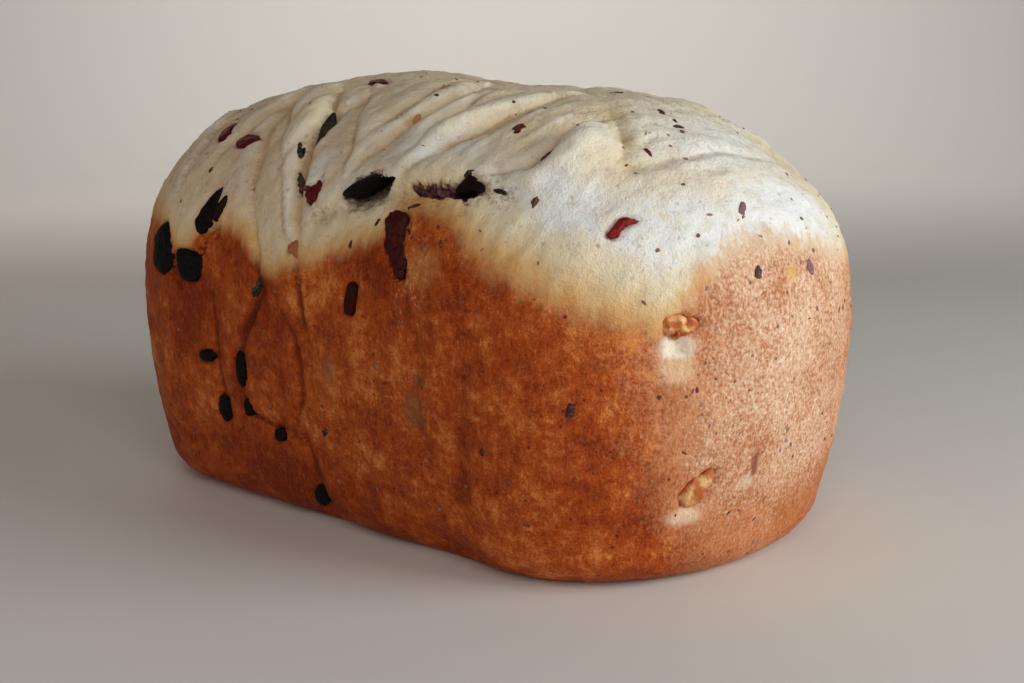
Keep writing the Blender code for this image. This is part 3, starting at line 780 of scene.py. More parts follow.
class Finish(Web):
    """A material with a Principled shader, and the few nodes that all of them use."""

    def __init__(self, name, **constants):
        self.material = bpy.data.materials.new(name)
        self.material.use_nodes = True
        super().__init__(self.material.node_tree)
        self.shader = self.tree.nodes["Principled BSDF"]
        for label, value in constants.items():
            self.shader.inputs[label.replace("_", " ")].default_value = value
        self.place = self.node("ShaderNodeTexCoord")[3]

    def attribute(self, name, output=2):
        return self.node("ShaderNodeAttribute", {"attribute_name": name})[output]

    def mix(self, share, first, second):
        """A colour between two, by a share from 0 to 1. Each is a wire, or named by three values up to 255."""
        first, second = (shown(colour) if isinstance(colour, tuple) else colour for colour in (first, second))
        settings = {"data_type": "RGBA", "clamp_factor": True}
        return self.node("ShaderNodeMix", settings, {0: share, 6: first, 7: second})[2]

    def coated(self, colour, *coats):
        """A colour with others laid over it one after the other, each by its own share."""
        for share, coat in coats:
            colour = self.mix(share, colour, coat)
        return colour

    def bump(self, height, distance, strength):
        inputs = {"Height": height, "Distance": distance, "Strength": strength}
        return self.node("ShaderNodeBump", None, inputs)[0]

    def dress(self, **wires):
        for label, wire in wires.items():
            self.feed(self.shader.inputs[label.replace("_", " ")], wire)
        return self.material


class Tool(Web):
    """A Geometry Nodes tree with named inputs, whose result becomes the plain mesh of a piece."""

    def __init__(self, name, inputs):
        super().__init__(bpy.data.node_groups.new(name, "GeometryNodeTree"))
        face = self.tree.interface
        face.new_socket(name="Mesh", in_out="INPUT", socket_type="NodeSocketGeometry")
        self.labels = {}
        for label, kind in inputs.items():
            made = face.new_socket(name=label, in_out="INPUT", socket_type=f"NodeSocket{kind}")
            self.labels[label] = made.identifier
        face.new_socket(name="Mesh", in_out="OUTPUT", socket_type="NodeSocketGeometry")
        start = self.tree.nodes.new("NodeGroupInput")
        self.given = {socket.name: Wire(self, socket) for socket in start.outputs}
        self.end = self.tree.nodes.new("NodeGroupOutput")

    def named(self, label):
        return self.node("GeometryNodeInputNamedAttribute", {"data_type": "FLOAT"}, {0: label})[0]

    def random(self, seed):
        """A number from 0 to 1, another for each instance."""
        return self.node("FunctionNodeRandomValue", {"data_type": "FLOAT"}, {"Seed": seed})[1]

    def close(self, geometry, material):
        whole = self.node("GeometryNodeRealizeInstances", None, {0: geometry})[0]
        clad = self.node("GeometryNodeSetMaterial", None, {0: whole, "Material": material})[0]
        self.feed(self.end.inputs[0], clad)

    def use_on(self, thing, values):
        modifier = thing.modifiers.new(self.tree.name, "NODES")
        modifier.node_group = self.tree
        for label, value in values.items():
            modifier[self.labels[label]] = value
        settle(thing)


def settle(thing):
    """Turn the object's evaluated mesh into its own mesh, and remove its modifiers."""
    graph = bpy.context.evaluated_depsgraph_get()
    mesh = bpy.data.meshes.new_from_object(
        thing.evaluated_get(graph), preserve_all_data_layers=True, depsgraph=graph
    )
    thing.modifiers.clear()
    thing.data = mesh


def shown(rgb):
    """A colour as the eye names it, from 0 to 255, in the linear values that a shader takes."""
    parts = [c / 255 for c in rgb]
    return (*(c / 12.92 if c <= 0.04045 else ((c + 0.055) / 1.055) ** 2.4 for c in parts), 1.0)


def as_object(name, mesh, material=None):
    """A new object in the scene, with its mesh clad in a material."""
    thing = bpy.data.objects.new(name, mesh)
    if material:
        mesh.materials.append(material)
    bpy.context.scene.collection.objects.link(thing)
    return thing


def set_attribute(mesh, name, values, kind="FLOAT"):
    """Store a value or a colour at each point of a mesh."""
    made = mesh.attributes.get(name) or mesh.attributes.new(name, kind, "POINT")
    key = "color" if kind == "FLOAT_COLOR" else "value"
    made.data.foreach_set(key, np.asarray(values, np.float32).ravel())


def attribute_of(mesh, name, width=1):
    """An attribute's values at the points: numbers, or colours where the width is 4."""
    found = np.zeros(len(mesh.vertices) * width, np.float32)
    mesh.attributes[name].data.foreach_get("color" if width == 4 else "value", found)
    return found.reshape(-1, width) if width > 1 else found


def mesh_from(name, points, faces):
    """A smooth mesh of the given points and faces."""
    mesh = bpy.data.meshes.new(name)
    mesh.from_pydata([tuple(p) for p in points], [], faces)
    mesh.shade_smooth()
    mesh.update()
    return mesh


def tree_of(mesh):
    """A search tree over a mesh, for the nearest place on it."""
    bm = bmesh.new()
    bm.from_mesh(mesh)
    tree = BVHTree.FromBMesh(bm)
    bm.free()
    return tree


def around_of(x, y, ring_x, ring_y, places):
    """The share of the way round the loaf at which a place in mm lies."""
    return places[np.argmin((ring_x / MM - x) ** 2 + (ring_y / MM - y) ** 2)]


def interpolate_round(table, around, places):
    """Values given at places round the loaf, at each share of the way round."""
    ring_x, ring_y = outline(HALF_LENGTH, HALF_WIDTH, *CORNER_AT_SHOULDER, places)
    at = np.array([around_of(x, y, ring_x, ring_y, places) for x, y, _ in table])
    values = np.array([value for _, _, value in table], float)
    return np.interp(around, at, values, period=1.0)


def nearness(points, middle, reach, power=2):
    """1 in the middle of an oval place, or a squarer one for a higher power, falling to nothing past its reach."""
    away = (np.abs((points / MM - middle) / reach) ** power).sum(1)
    return np.exp(-away)


def sunk(mesh, rounds):
    """How far each point lies below its surroundings in mm, negative where it stands above them."""
    points, normals = points_of(mesh), normals_of(mesh)
    ends = np.zeros(len(mesh.edges) * 2, np.int32)
    mesh.edges.foreach_get("vertices", ends)
    first, second = ends.reshape(-1, 2).T
    count = np.bincount(first, minlength=len(points)) + np.bincount(second, minlength=len(points))
    calm = points.copy()
    for _ in range(rounds):
        beside = np.zeros_like(points)
        for axis in range(3):
            beside[:, axis] += np.bincount(first, calm[second, axis], len(points))
            beside[:, axis] += np.bincount(second, calm[first, axis], len(points))
        calm = (calm + beside / count[:, None]) / 2
    return ((calm - points) * normals).sum(1) / MM


def loaf_mesh():
    """The loaf with its folds, and the attributes that its finish reads."""
    places = column_places()
    points = smooth_points(places)
    ring_count = (len(points) - 2) // COLUMNS
    mesh = mesh_from("loaf", points, ring_faces(ring_count))
    normals = normals_of(mesh)
    shift, creased = relief(points, normals)
    off_base = np.clip(points[:, 2] / (0.3 * HEEL_RADIUS), 0, 1)
    moved = points + normals * (shift * off_base)[:, None]
    moved[:, 2] = np.maximum(moved[:, 2], 0)
    move_to(mesh, moved)

    around = np.concatenate([np.tile(places, ring_count), [0, 0]])
    line = interpolate_round(BROWN_LINE, around, places) * MM
    slope = interpolate_round(BROWNING_ROUND, around, places) * MM
    set_attribute(mesh, "brown", np.clip((line - moved[:, 2]) / slope + 0.5, 0, 1))
    low_down = smooth_step(moved[:, 2], *HEEL_TOASTED)
    toast = interpolate_round(TOAST_ROUND, around, places)
    set_attribute(mesh, "toast", np.clip(toast + TOAST_AT_HEEL * low_down, 0, 1))
    # How deep in a groove each point lies, which the finish paints as shade in the creases
    set_attribute(mesh, "crease", creased)
    set_attribute(mesh, "baked", sum(more * nearness(moved, middle, reach) for middle, reach, more in BAKED))
    for name, patches in (("torn", TORN), ("floury", FLOUR_AND_HIGHLIGHT_PATCHES)):
        share_at = [share * nearness(moved, middle, reach) for middle, reach, share in patches]
        set_attribute(mesh, name, np.max(share_at, axis=0))
    stain = np.zeros((len(moved), 4))
    stain[:, :3] = shown(GOLDEN)[:3]
    for middle, reach, colour, cover in STAINS_AND_PAINTED_LIGHT:
        share = cover * smooth_step(nearness(moved, middle, reach, STAIN_POWER), *STAIN_EDGE)
        fresh = share > stain[:, 3]
        stain[fresh, :3] = shown(colour)[:3]
        stain[:, 3] = np.maximum(stain[:, 3], share)
    set_attribute(mesh, "stain", stain, "FLOAT_COLOR")
    set_attribute(mesh, "hollow", np.zeros(len(moved)))
    return mesh


def facing(place, normal, turn):
    """A frame on the surface: Z out of it, and X along the piece's length, turned from upright."""
    normal = normal.normalized()
    upright = Vector((0, 0, 1)) - normal * normal.z
    if upright.length < 0.2:
        upright = Vector((0, 1, 0)) - normal * normal.y
    upright.normalize()
    aside = upright.cross(normal)
    length = upright * math.cos(turn) + aside * math.sin(turn)
    across = normal.cross(length)
    frame = Matrix((length, across, normal)).transposed().to_4x4()
    frame.translation = place
    return frame


def lumpy(spot, lumps, shift):
    """How far a place on a lumpy ball lies from its middle: about 1."""
    swell = 1.0
    for strength, fineness in lumps:
        swell += strength * noise.noise(spot * fineness + shift)
    return swell


def ragged_ball(half_sizes, seed):
    """A lumpy ball whose rim on one side is drawn out into teeth, to cut a torn mouth."""
    bm = bmesh.new()
    around, up = MOUTH_SEGMENTS
    bmesh.ops.create_uvsphere(bm, u_segments=around, v_segments=up, radius=1.0)
    shift = Vector((seed, seed * 0.7, 0))
    for vert in bm.verts:
        spot = Vector(vert.co)
        swell = lumpy(spot, MOUTH_LUMPS, shift)
        toothed = max(spot.y, 0) * MOUTH_TEETH
        across = 1 + toothed * noise.noise(Vector((spot.x * 17, spot.z * 4, seed)))
        across += 0.10 * noise.noise(Vector((spot.x * 9, spot.z * 5, seed + 5)))
        vert.co = Vector((spot.x * swell, spot.y * swell * across, spot.z * swell))
        vert.co = Vector(c * h for c, h in zip(vert.co, half_sizes))
    return bm


def tear_mouths(loaf):
    """Cut the two open mouths of the seam, and note on the mesh how deep below the crust each point lies."""
    whole = loaf.data
    surface = tree_of(whole)
    points = points_of(whole)
    known = KDTree(len(points))
    for index, point in enumerate(points):
        known.insert(point, index)
    known.balance()
    for number, (middle, half_length, half_height, depth, tilt) in enumerate(MOUTHS):
        place, normal, _, _ = surface.find_nearest(Vector(middle) * MM)
        bm = ragged_ball([s * MM for s in (half_length, half_height, depth)], MOUTH_SEED + number)
        bm.transform(facing(place, normal, math.radians(90 - tilt)))
        mesh = bpy.data.meshes.new("mouth")
        bm.to_mesh(mesh)
        bm.free()
        cutter = as_object(f"mouth_cutter_{number + 1}", mesh)
        carve = loaf.modifiers.new(cutter.name, "BOOLEAN")
        carve.operation = "DIFFERENCE"
        carve.solver = "MANIFOLD"
        carve.object = cutter
    settle(loaf)
    for thing in [o for o in bpy.data.objects if o.name.startswith("mouth_cutter")]:
        bpy.data.objects.remove(thing, do_unlink=True)

    carved = loaf.data
    found = [known.find(point) for point in points_of(carved)]
    nearest = np.array([index for _, index, _ in found])
    for name in ("brown", "toast", "crease", "baked", "torn", "floury"):
        set_attribute(carved, name, attribute_of(whole, name)[nearest])
    set_attribute(carved, "stain", attribute_of(whole, "stain", 4)[nearest], "FLOAT_COLOR")
    hollow = np.zeros(len(found))
    for index, point in enumerate(points_of(carved)):
        if found[index][2] > 0.02 * MM:
            hollow[index] = surface.find_nearest(Vector(point))[3] / MM
    set_attribute(carved, "hollow", hollow)


def fine_relief(material):
    """The tree for the skin's finer relief: silky ripples on pale dough, grain and pores on the brown crust."""
    tool = Tool("fine_relief", {label: "Float" for label in RELIEF_SIZES})
    given = tool.given
    place = tool.node("GeometryNodeInputPosition")[0]
    normal = tool.node("GeometryNodeInputNormal")[0]
    turn_in = {"Vector": place, "Axis": (0, 0, 1), "Angle": FOLD_LEAN}
    leaning = tool.node("ShaderNodeVectorRotate", {"rotation_type": "AXIS_ANGLE"}, turn_in)[0]

    def swells(start, factors, reach, detail):
        return tool.noise(tool.stretched(start, factors), reach, detail, 0.55) - 0.5

    def ridges(reach, height):
        return (0.12 - abs(swells(leaning, (1.0, 0.26, 0.45), reach, 2.0))) * height

    crust = tool.named("brown").between(0.35, 0.7)
    rough = tool.named("torn").between(0.15, 0.8) + tool.named("hollow").between(0.1, 1.0)
    ripples = ridges(given["Ripple Reach"], given["Ripple Height"])
    ripples += ridges(given["Ripple Reach"] * 0.40, given["Ripple Height"] * 0.42)
    lumps = swells(place, (1.0, 1.0, 0.8), given["Lump Reach"], 3.0) * given["Lump Height"]
    skin = swells(place, (1.0, 1.0, 1.0), given["Skin Reach"], 3.0) * given["Skin Height"]
    holes = tool.cells(place, given["Pore Reach"])
    pores = holes.between(0.34, 0.10) * given["Pore Depth"] * crust
    crumbs = swells(place, (1.0, 1.0, 1.0), given["Crumb Reach"], 2.0) * given["Crumb Height"] * rough
    height = ripples * (1 - crust * 0.85) + lumps + skin - pores + crumbs
    off_base = tool.node("ShaderNodeSeparateXYZ", None, {0: place})[2].between(0.2 * MM, 3 * MM)
    offset = tool.scaled(normal, height * off_base)
    moved = tool.node("GeometryNodeSetPosition", None, {"Geometry": given["Mesh"], "Offset": offset})[0]
    tool.close(moved, material)
    return tool


def fleck_scatter(material):
    """The tree that strews flakes of fruit skin over the crust, each pressed flat into it."""
    tool = Tool("fleck_scatter", {"Flake Size": "Float", "Per Square Metre": "Float", "Seed": "Int"})
    given = tool.given
    density = given["Per Square Metre"] * (tool.named("speckled") + tool.named("torn") * 2.0)
    spread_in = {"Mesh": given["Mesh"], "Density": density, "Seed": given["Seed"]}
    spread = tool.node("GeometryNodeDistributePointsOnFaces", {"distribute_method": "RANDOM"}, spread_in)
    flake = tool.node("GeometryNodeMeshIcoSphere", None, {"Radius": given["Flake Size"], "Subdivisions": 2})[0]
    spot = tool.node("GeometryNodeInputPosition")[0]
    bumpy = tool.node("ShaderNodeTexNoise", None, {"Vector": spot, "Scale": 1.3 / (0.5 * MM), "Detail": 0.0})[1]
    dents = tool.node("ShaderNodeVectorMath", {"operation": "SUBTRACT"}, {0: bumpy, 1: (0.5, 0.5, 0.5)})[0]
    dents = tool.scaled(dents, given["Flake Size"] * 0.9)
    flake = tool.node("GeometryNodeSetPosition", None, {"Geometry": flake, "Offset": dents})[0]
    stretch_in = {"Min": (0.3, 0.3, 0.25), "Max": (1.2, 2.1, 0.45), "Seed": given["Seed"]}
    stretch = tool.node("FunctionNodeRandomValue", {"data_type": "FLOAT_VECTOR"}, stretch_in)[0]
    spin_in = {"Axis": (0, 0, 1), "Angle": tool.random(given["Seed"] + 3) * math.tau}
    spin = tool.node("FunctionNodeAxisAngleToRotation", None, spin_in)[0]
    turned_in = {"Rotation": spread[2], "Rotate By": spin}
    turned = tool.node("FunctionNodeRotateRotation", {"rotation_space": "LOCAL"}, turned_in)[0]
    put_in = {"Points": spread[0], "Instance": flake, "Rotation": turned, "Scale": stretch}
    put = tool.node("GeometryNodeInstanceOnPoints", None, put_in)[0]
    kept_in = {"Geometry": put, "Name": "shade", "Value": tool.random(given["Seed"] + 7)}
    kept = tool.node("GeometryNodeStoreNamedAttribute", {"data_type": "FLOAT", "domain": "INSTANCE"}, kept_in)[0]
    tool.close(kept, material)
    return tool


def crust_finish():
    """Pale dough above, whitened by flour and partly by a painted highlight, golden where it begins to brown, and
    speckled brown crust below, with painted shade in its hollows.
    """
    finish = Finish("crust", Specular_IOR_Level=0.15, Subsurface_Weight=0.05, Subsurface_Scale=0.003)
    place = finish.place
    brown = finish.attribute("brown")
    toast = finish.attribute("toast")
    crease = finish.attribute("crease")
    torn = finish.attribute("torn")
    halo = finish.attribute("halo")
    hollow = finish.attribute("hollow").between(0.10, 0.9)
    stain, cover = finish.attribute("stain", 0), finish.attribute("stain", 3)

    upright = finish.stretched(place, (1.0, 1.0, 0.22))
    broad = finish.noise(place, 24 * MM, 3.0)
    patchy = finish.noise(place, 7 * MM, 4.0, 0.6)
    mottle = finish.noise(place, 2.8 * MM, 4.0, 0.65)
    strands = finish.noise(upright, 1.1 * MM, 4.0, 0.65)
    fringe = finish.noise(upright, 3.2 * MM, 3.0, 0.6)
    speckle = finish.noise(place, 1.0 * MM, 3.0, 0.7)
    grain = finish.noise(place, 0.42 * MM, 2.0, 0.6)
    threads = abs(finish.noise(finish.stretched(place, (1.0, 1.0, 0.35)), 1.7 * MM, 2.0, 0.6, 0.6) - 0.5)
    valley = finish.attribute("valley")
    pit = finish.attribute("pit")
    baked_more = finish.attribute("baked")

    def tone(value, dark, middle, light):
        """Three tones over a value from 0 to 1."""
        lower = finish.mix(value.between(0.12, 0.55), dark, middle)
        return finish.mix(value.between(0.45, 0.92), lower, light)

    def dots(reach, share, low, high):
        """Small spots, in only some of the cells that they are strewn over."""
        spots = finish.cells(place, reach)
        chosen = finish.noise(place, reach * 1.4, 0.0).between(1 - share, 1 - share + 0.05)
        return spots.between(high, low) * chosen

    across = finish.node("ShaderNodeSeparateXYZ", None, {0: place})[0]
    # How far towards the right end, the lamps' side, a point lies; the dough away from it gets painted warm shade
    rightward = across.between(-45 * MM, 35 * MM)
    spread = (broad - 0.5) * 0.16 + (patchy - 0.5) * 0.22 + (fringe - 0.5) * 0.22 + (strands - 0.5) * 0.12
    baked = brown + spread + ((strands - 0.5) * 0.5 + (mottle - 0.5) * 0.4) * (1 - toast)
    golden = baked.between(0.20, 0.50)
    browned = baked.between(0.42, 0.74)

    # Pale dough: whiter where flour lies, partly as a painted highlight; a painted highlight on its ridges; painted
    # shade, warm and tan, in its valleys, pits and creases and over its left side away from the lamps, with a
    # painted warm reflection there; and faint mauve blotches of fruit under the skin
    floury = (finish.attribute("floury") + (patchy - 0.5) * 0.5 + (mottle - 0.5) * 0.4).between(0.15, 0.8)
    creamy = (baked + (mottle - 0.5) * 0.3).between(-0.06, 0.20) * toast.between(0.2, 0.6)
    hues = finish.noise(place, 5.5 * MM, 3.0, 0.6)
    other = finish.noise(finish.stretched(place, (1.0, 1.0, 0.8)), 8.3 * MM, 3.0, 0.6)
    calmer = 1 - floury * 0.55
    dough = finish.coated(
        # whiter where flour lies, partly a painted highlight
        finish.mix(floury, DOUGH, FLOUR_AND_HIGHLIGHT_WHITE),
        (patchy.between(0.48, 0.72) * (0.40 - floury * 0.32), STRAW),
        (mottle.between(0.52, 0.70) * (0.46 - floury * 0.14 - rightward * 0.18), PUTTY),
        (mottle.between(0.46, 0.32) * (0.75 - rightward * 0.40), MILK),
        (hues.between(0.56, 0.68) * calmer * 0.5, ROSY),
        (hues.between(0.44, 0.33) * calmer * 0.5, WHEAT),
        (other.between(0.54, 0.68) * calmer * 0.5, ASHEN),
        # painted highlight: whiter where the skin stands above its surroundings, more so on the left
        (valley.between(-0.10, -0.75) * (0.80 - rightward * 0.28), RIDGE_HIGHLIGHT),
        # painted shade: warmer and darker deep in the valleys
        ((valley + (patchy - 0.5) * 0.5).between(0.10, 0.85) * 0.60, VALLEY_SHADE_WARM),
        # painted shade: tan in the pits
        (pit.between(0.06, 0.30) * 0.35, PIT_SHADE_TAN),
        (creamy * 0.8, CREAM),
        # painted shade: warmer and darker over the left side, away from the lamps, with a painted warm reflection
        ((1 - rightward) * 0.30, WARM_SHADE),
        # painted shade: tan in the creases
        (crease.between(0.3, 1.0) * 0.45, CREASE_SHADE_TAN),
        *[(dots(*strewn) * cover_of, colour) for *strewn, cover_of, colour in SMUDGES],
        (halo * patchy.between(0.35, 0.6) * 0.35, FRUIT_STAIN),
    )

    # Brown crust: broad lighter and darker places, a soft grain up the side, and a speckle on the short end; darker
    # in its valleys, pits and creases as painted shade
    lean = patchy * 0.85 + mottle * 0.85 + strands * 0.35 + broad * 1.0 - 1.04
    lean = lean + ((speckle - 0.5) * 0.9 + (grain - 0.5) * 0.9) * (0.35 + rightward * 0.25)
    # painted shade: the crust darker in its valleys
    lean = lean + baked_more * 0.6 - valley * 0.2 - 0.07
    dark = tone(lean, DARK_CRUST, MIDDLE_CRUST, PALE_CRUST)
    fine = finish.noise(finish.stretched(place, (1.0, 1.0, 0.75)), 0.6 * MM, 2.0, 0.6)
    flecked = patchy * 0.5 + mottle * 0.5 + speckle * 0.9 + fine * 0.9 + broad * 0.8 - 1.37 + baked_more * 0.6
    light = tone(flecked, DARK_SPECK, MIDDLE_SPECK, PALE_SPECK)
    toasted = toast * 1.10 + (patchy - 0.5) * 0.5 + (mottle - 0.5) * 0.3
    toasted = (toasted - (speckle - 0.5) * 0.40 - (fine - 0.5) * 0.45).held()
    flaky = threads.between(0.06, 0.0) * speckle.between(0.46, 0.60) * torn.between(0.2, 0.9)
    crust = finish.coated(
        finish.mix(toasted, light, dark),
        (toasted.between(0.15, 0.55) * (1 - toasted) * 0.9, AMBER),
        (threads.between(0.020, 0.0) * (0.25 - toast * 0.13), PALE_THREAD),
        (flaky * 0.65, PALE_FLAKE),
        (dots(3.4 * MM, 0.46, 0.07, 0.17) * 0.70, BURNT),
        (dots(1.9 * MM, 0.44, 0.10, 0.22) * 0.45, SCORCHED),
        # painted shade: brown in the pits
        (pit.between(0.05, 0.30) * 0.5, PIT_SHADE_BROWN),
        # painted shade: brown in the creases
        (crease.between(0.3, 0.95) * 0.7, CREASE_SHADE_BROWN),
    )

    gold = finish.mix(toast.between(0.15, 0.65), LIGHT_GOLD, GOLDEN)
    mauve = across.between(24 * MM, 32 * MM)
    pale_crumb = finish.mix(mauve, PALE_CRUMB, MAUVE_CRUMB)
    dark_crumb = finish.mix(mauve, BROWN_CRUMB, DARK_CRUMB)
    crumb = finish.mix(mottle.between(0.36, 0.62), dark_crumb, pale_crumb)
    crumbly = torn.between(0.25, 0.9) * speckle.between(0.48, 0.60) * 0.6
    skin = finish.coated(
        dough,
        (golden, gold),
        (golden * mottle.between(0.5, 0.65) * (0.1 + toast * 0.25), DEEP_GOLD),
        (browned, crust),
        (crumbly * (1 - browned * 0.6), TORN_GREY),
        (hollow, crumb),
        ((cover + (speckle - 0.5) * cover * 0.8).held(), stain),
    )

    height = (strands * 0.4 + mottle * 0.6) * browned + speckle * 0.7 + (1 - browned) * (grain * 0.5 + mottle * 0.8)
    normal = finish.bump(height, 0.0006, 0.8)
    rough = 0.80 - browned * 0.26 + speckle * 0.1
    return finish.dress(Base_Color=skin, Roughness=rough, Normal=normal)


def raisin_finish():
    """Near-black wrinkled skin, a few bleached and one reddish."""
    finish = Finish("raisin", Specular_IOR_Level=0.14)
    place = finish.place
    folds = finish.noise(place, 1.3 * MM, 3.0, 0.55, 0.8)
    dust = finish.noise(place, 2.6 * MM, 3.0, 0.6)
    shade = finish.attribute("shade")
    skin = finish.coated(
        finish.mix(folds.between(0.35, 0.65), RAISIN_BLACK, RAISIN_BROWN),
        (dust.between(0.62, 0.80) * 0.25, RAISIN_DUST),
        (shade.held() * dust.between(0.3, 0.6), RAISIN_BLEACHED),
        ((0 - shade).held(), RAISIN_RED),
    )
    normal = finish.bump(folds, 0.0005, 0.8)
    rough = 0.5 + dust * 0.25
    return finish.dress(Base_Color=skin, Roughness=rough, Normal=normal)


def cranberry_finish():
    """Dark red, a little glossy."""
    finish = Finish("cranberry", Specular_IOR_Level=0.22, Subsurface_Weight=0.08, Subsurface_Scale=0.002)
    place = finish.place
    folds = finish.noise(place, 1.1 * MM, 3.0, 0.55, 0.6)
    dark = finish.attribute("shade")
    bright = finish.mix(folds.between(0.35, 0.65), BERRY_RED, BERRY_BRIGHT)
    deep = finish.mix(folds.between(0.35, 0.65), BERRY_DARK, BERRY_DEEP)
    skin = finish.mix(dark, bright, deep)
    normal = finish.bump(folds, 0.0004, 0.8)
    rough = 0.42 + finish.noise(place, 2.0 * MM, 2.0) * 0.25
    return finish.dress(Base_Color=skin, Roughness=rough, Normal=normal)


def walnut_finish():
    """Golden brown kernel with cream lobes and dark veins."""
    finish = Finish("walnut", Specular_IOR_Level=0.4)
    place = finish.place
    veins = finish.noise(place, 1.2 * MM, 4.0, 0.6, 0.8)
    broad = finish.noise(place, 2.4 * MM, 2.0)
    skin = finish.mix(broad.between(0.42, 0.66), NUT_BROWN, NUT_CREAM)
    skin = finish.mix(veins.between(0.56, 0.70) * 0.7, skin, NUT_VEIN)
    normal = finish.bump(veins, 0.0004, 0.7)
    rough = 0.45 + veins * 0.25
    return finish.dress(Base_Color=skin, Roughness=rough, Normal=normal)


def bit_finish():
    """Each bit of fruit in its own colour, a little dusty."""
    finish = Finish("fruit_bit", Specular_IOR_Level=0.4)
    skin = finish.attribute("tint", 0)
    mottle = finish.noise(finish.place, 0.8 * MM, 3.0)
    skin = finish.mix(mottle.between(0.50, 0.66) * 0.22, skin, BIT_DUST)
    normal = finish.bump(mottle, 0.0003, 0.8)
    return finish.dress(Base_Color=skin, Roughness=0.5 + mottle * 0.3, Normal=normal)


def fleck_finish():
    """Flakes of fruit skin, from dark red to mauve."""
    finish = Finish("fleck", Specular_IOR_Level=0.3)
    shade = finish.attribute("shade")
    skin = finish.mix(shade.between(0.2, 0.8), FLECK_RED, FLECK_MAUVE)
    mottle = finish.noise(finish.place, 0.6 * MM, 2.0)
    skin = finish.mix(mottle * 0.5, skin, FLECK_BROWN)
    return finish.dress(Base_Color=skin, Roughness=0.6 + mottle * 0.2)


def ridged(points, reach, seed):
    """Noise folded at its middle: sharp valleys between rounded ridges, from 0 to 1."""
    return 1 - np.abs(swing(points, reach, seed)) * 2


def shape_along(mesh, spine, surface):
    """Give a round piece the outline that a spine describes, keeping its place and its thickness."""
    points = points_of(mesh)
    middle = (points.min(0) + points.max(0)) / 2
    _, normal, _, _ = surface.find_nearest(Vector(middle))
    frame = facing(Vector(middle), normal, 0.0)
    up, left, out = (np.array(frame.col[axis])[:3] for axis in range(3))
    offset = points - middle
    height = offset @ out
    thick = np.abs(height).max()
    ball = np.column_stack([offset @ -left, offset @ up]) / np.abs(offset @ np.column_stack([left, up])).max(0)
    rights, ups, halves = (np.array(column, float) * MM for column in zip(*spine))
    steps = np.concatenate([[0], np.cumsum(np.hypot(np.diff(rights), np.diff(ups)))])
    heading = math.atan2(ups[-1] - ups[0], rights[-1] - rights[0])
    along = ball @ [math.cos(heading), math.sin(heading)]
    aside = ball @ [-math.sin(heading), math.cos(heading)]
    level = np.clip(height / thick, -1, 1)
    length = np.sqrt(along**2 + aside**2 + level**2)
    along, aside, level = along / length, aside / length, level / length
    passed = (along + 1) / 2 * steps[-1]
    round_off = np.sqrt(np.maximum(1 - along**2, 1e-6))
    ended = (1 - np.abs(along) ** SPINE_BLUNTNESS) ** 0.5
    right, rise, half = (np.interp(passed, steps, column) for column in (rights, ups, halves))
    ahead = np.minimum(passed + SPINE_STEP, steps[-1])
    behind = np.maximum(passed - SPINE_STEP, 0)
    turn = np.arctan2(
        np.interp(ahead, steps, ups) - np.interp(behind, steps, ups),
        np.interp(ahead, steps, rights) - np.interp(behind, steps, rights),
    )
    across = aside / round_off * half * ended
    right = right - np.sin(turn) * across
    rise = rise + np.cos(turn) * across
    deep = level / round_off * thick * ended * np.sqrt(half / halves.max())
    move_to(mesh, middle + right[:, None] * -left + rise[:, None] * up + deep[:, None] * out)


def finer_copy(node, kind, finish):
    """A finer and rounder copy of a CAD node, as an object of its own."""
    mesh = node.data.copy()
    mesh.materials.clear()
    piece = as_object(f"fine_{node.name}", mesh, finish)
    bm = bmesh.new()
    bm.from_mesh(mesh)
    bmesh.ops.remove_doubles(bm, verts=bm.verts, dist=1e-6)
    bmesh.ops.join_triangles(bm, faces=bm.faces, angle_face_threshold=FLAT, angle_shape_threshold=FLAT)
    bm.to_mesh(mesh)
    bm.free()
    finer = piece.modifiers.new("finer", "SUBSURF")
    finer.levels = finer.render_levels = FINE if kind == "cranberry" or node.name in SPINES else COARSE
    settle(piece)
    piece.data.shade_smooth()
    return piece


def fine_piece(node, finish, seed, surface):
    """A fine wrinkled piece of fruit or nut in a CAD node's own place, pressed a little flatter outside."""
    kind = node.name.rsplit("_", 1)[0]
    piece = finer_copy(node, kind, finish)
    mesh = piece.data
    if node.name in SPINES:
        shape_along(mesh, SPINES[node.name], surface)
    points, normals = points_of(mesh), normals_of(mesh)
    middle = points.mean(0)
    spread = np.cov((points - middle).T)
    _, axes = np.linalg.eigh(spread)
    own = (points - middle) @ axes
    thick, wide, long = own[:, 0] / MM, own[:, 1] / MM, own[:, 2] / MM
    size = WRINKLED[kind]
    creases = ridged(np.column_stack([thick, wide, long * size["stretch"]]), size["reach"], seed)
    dents = swing(np.column_stack([thick, wide, long]), size["reach"] * 2.4, seed + 3)
    calmer = SPINE_CALM if kind == "raisin" and node.name in SPINES else 1.0
    points = middle + (points - middle) * size["grown"] * BROADER.get(node.name, 1.0)
    points += normals * ((creases - 0.75) * size["depth"] + dents * size["dent"])[:, None] * calmer * MM
    place, normal, _, _ = surface.find_nearest(Vector(middle))
    above = (points - np.array(place)) @ np.array(normal)
    pressed = np.where(above > 0, above * (size["press"] - 1), 0) + LIFTED.get(node.name, 0.0) * MM
    points += pressed[:, None] * np.array(normal)
    move_to(mesh, points)
    set_attribute(mesh, "shade", np.full(len(points), SHADES.get(node.name, 0.0 if kind == "raisin" else 0.5)))
    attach(piece, "root")
    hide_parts(node.name)
    return piece


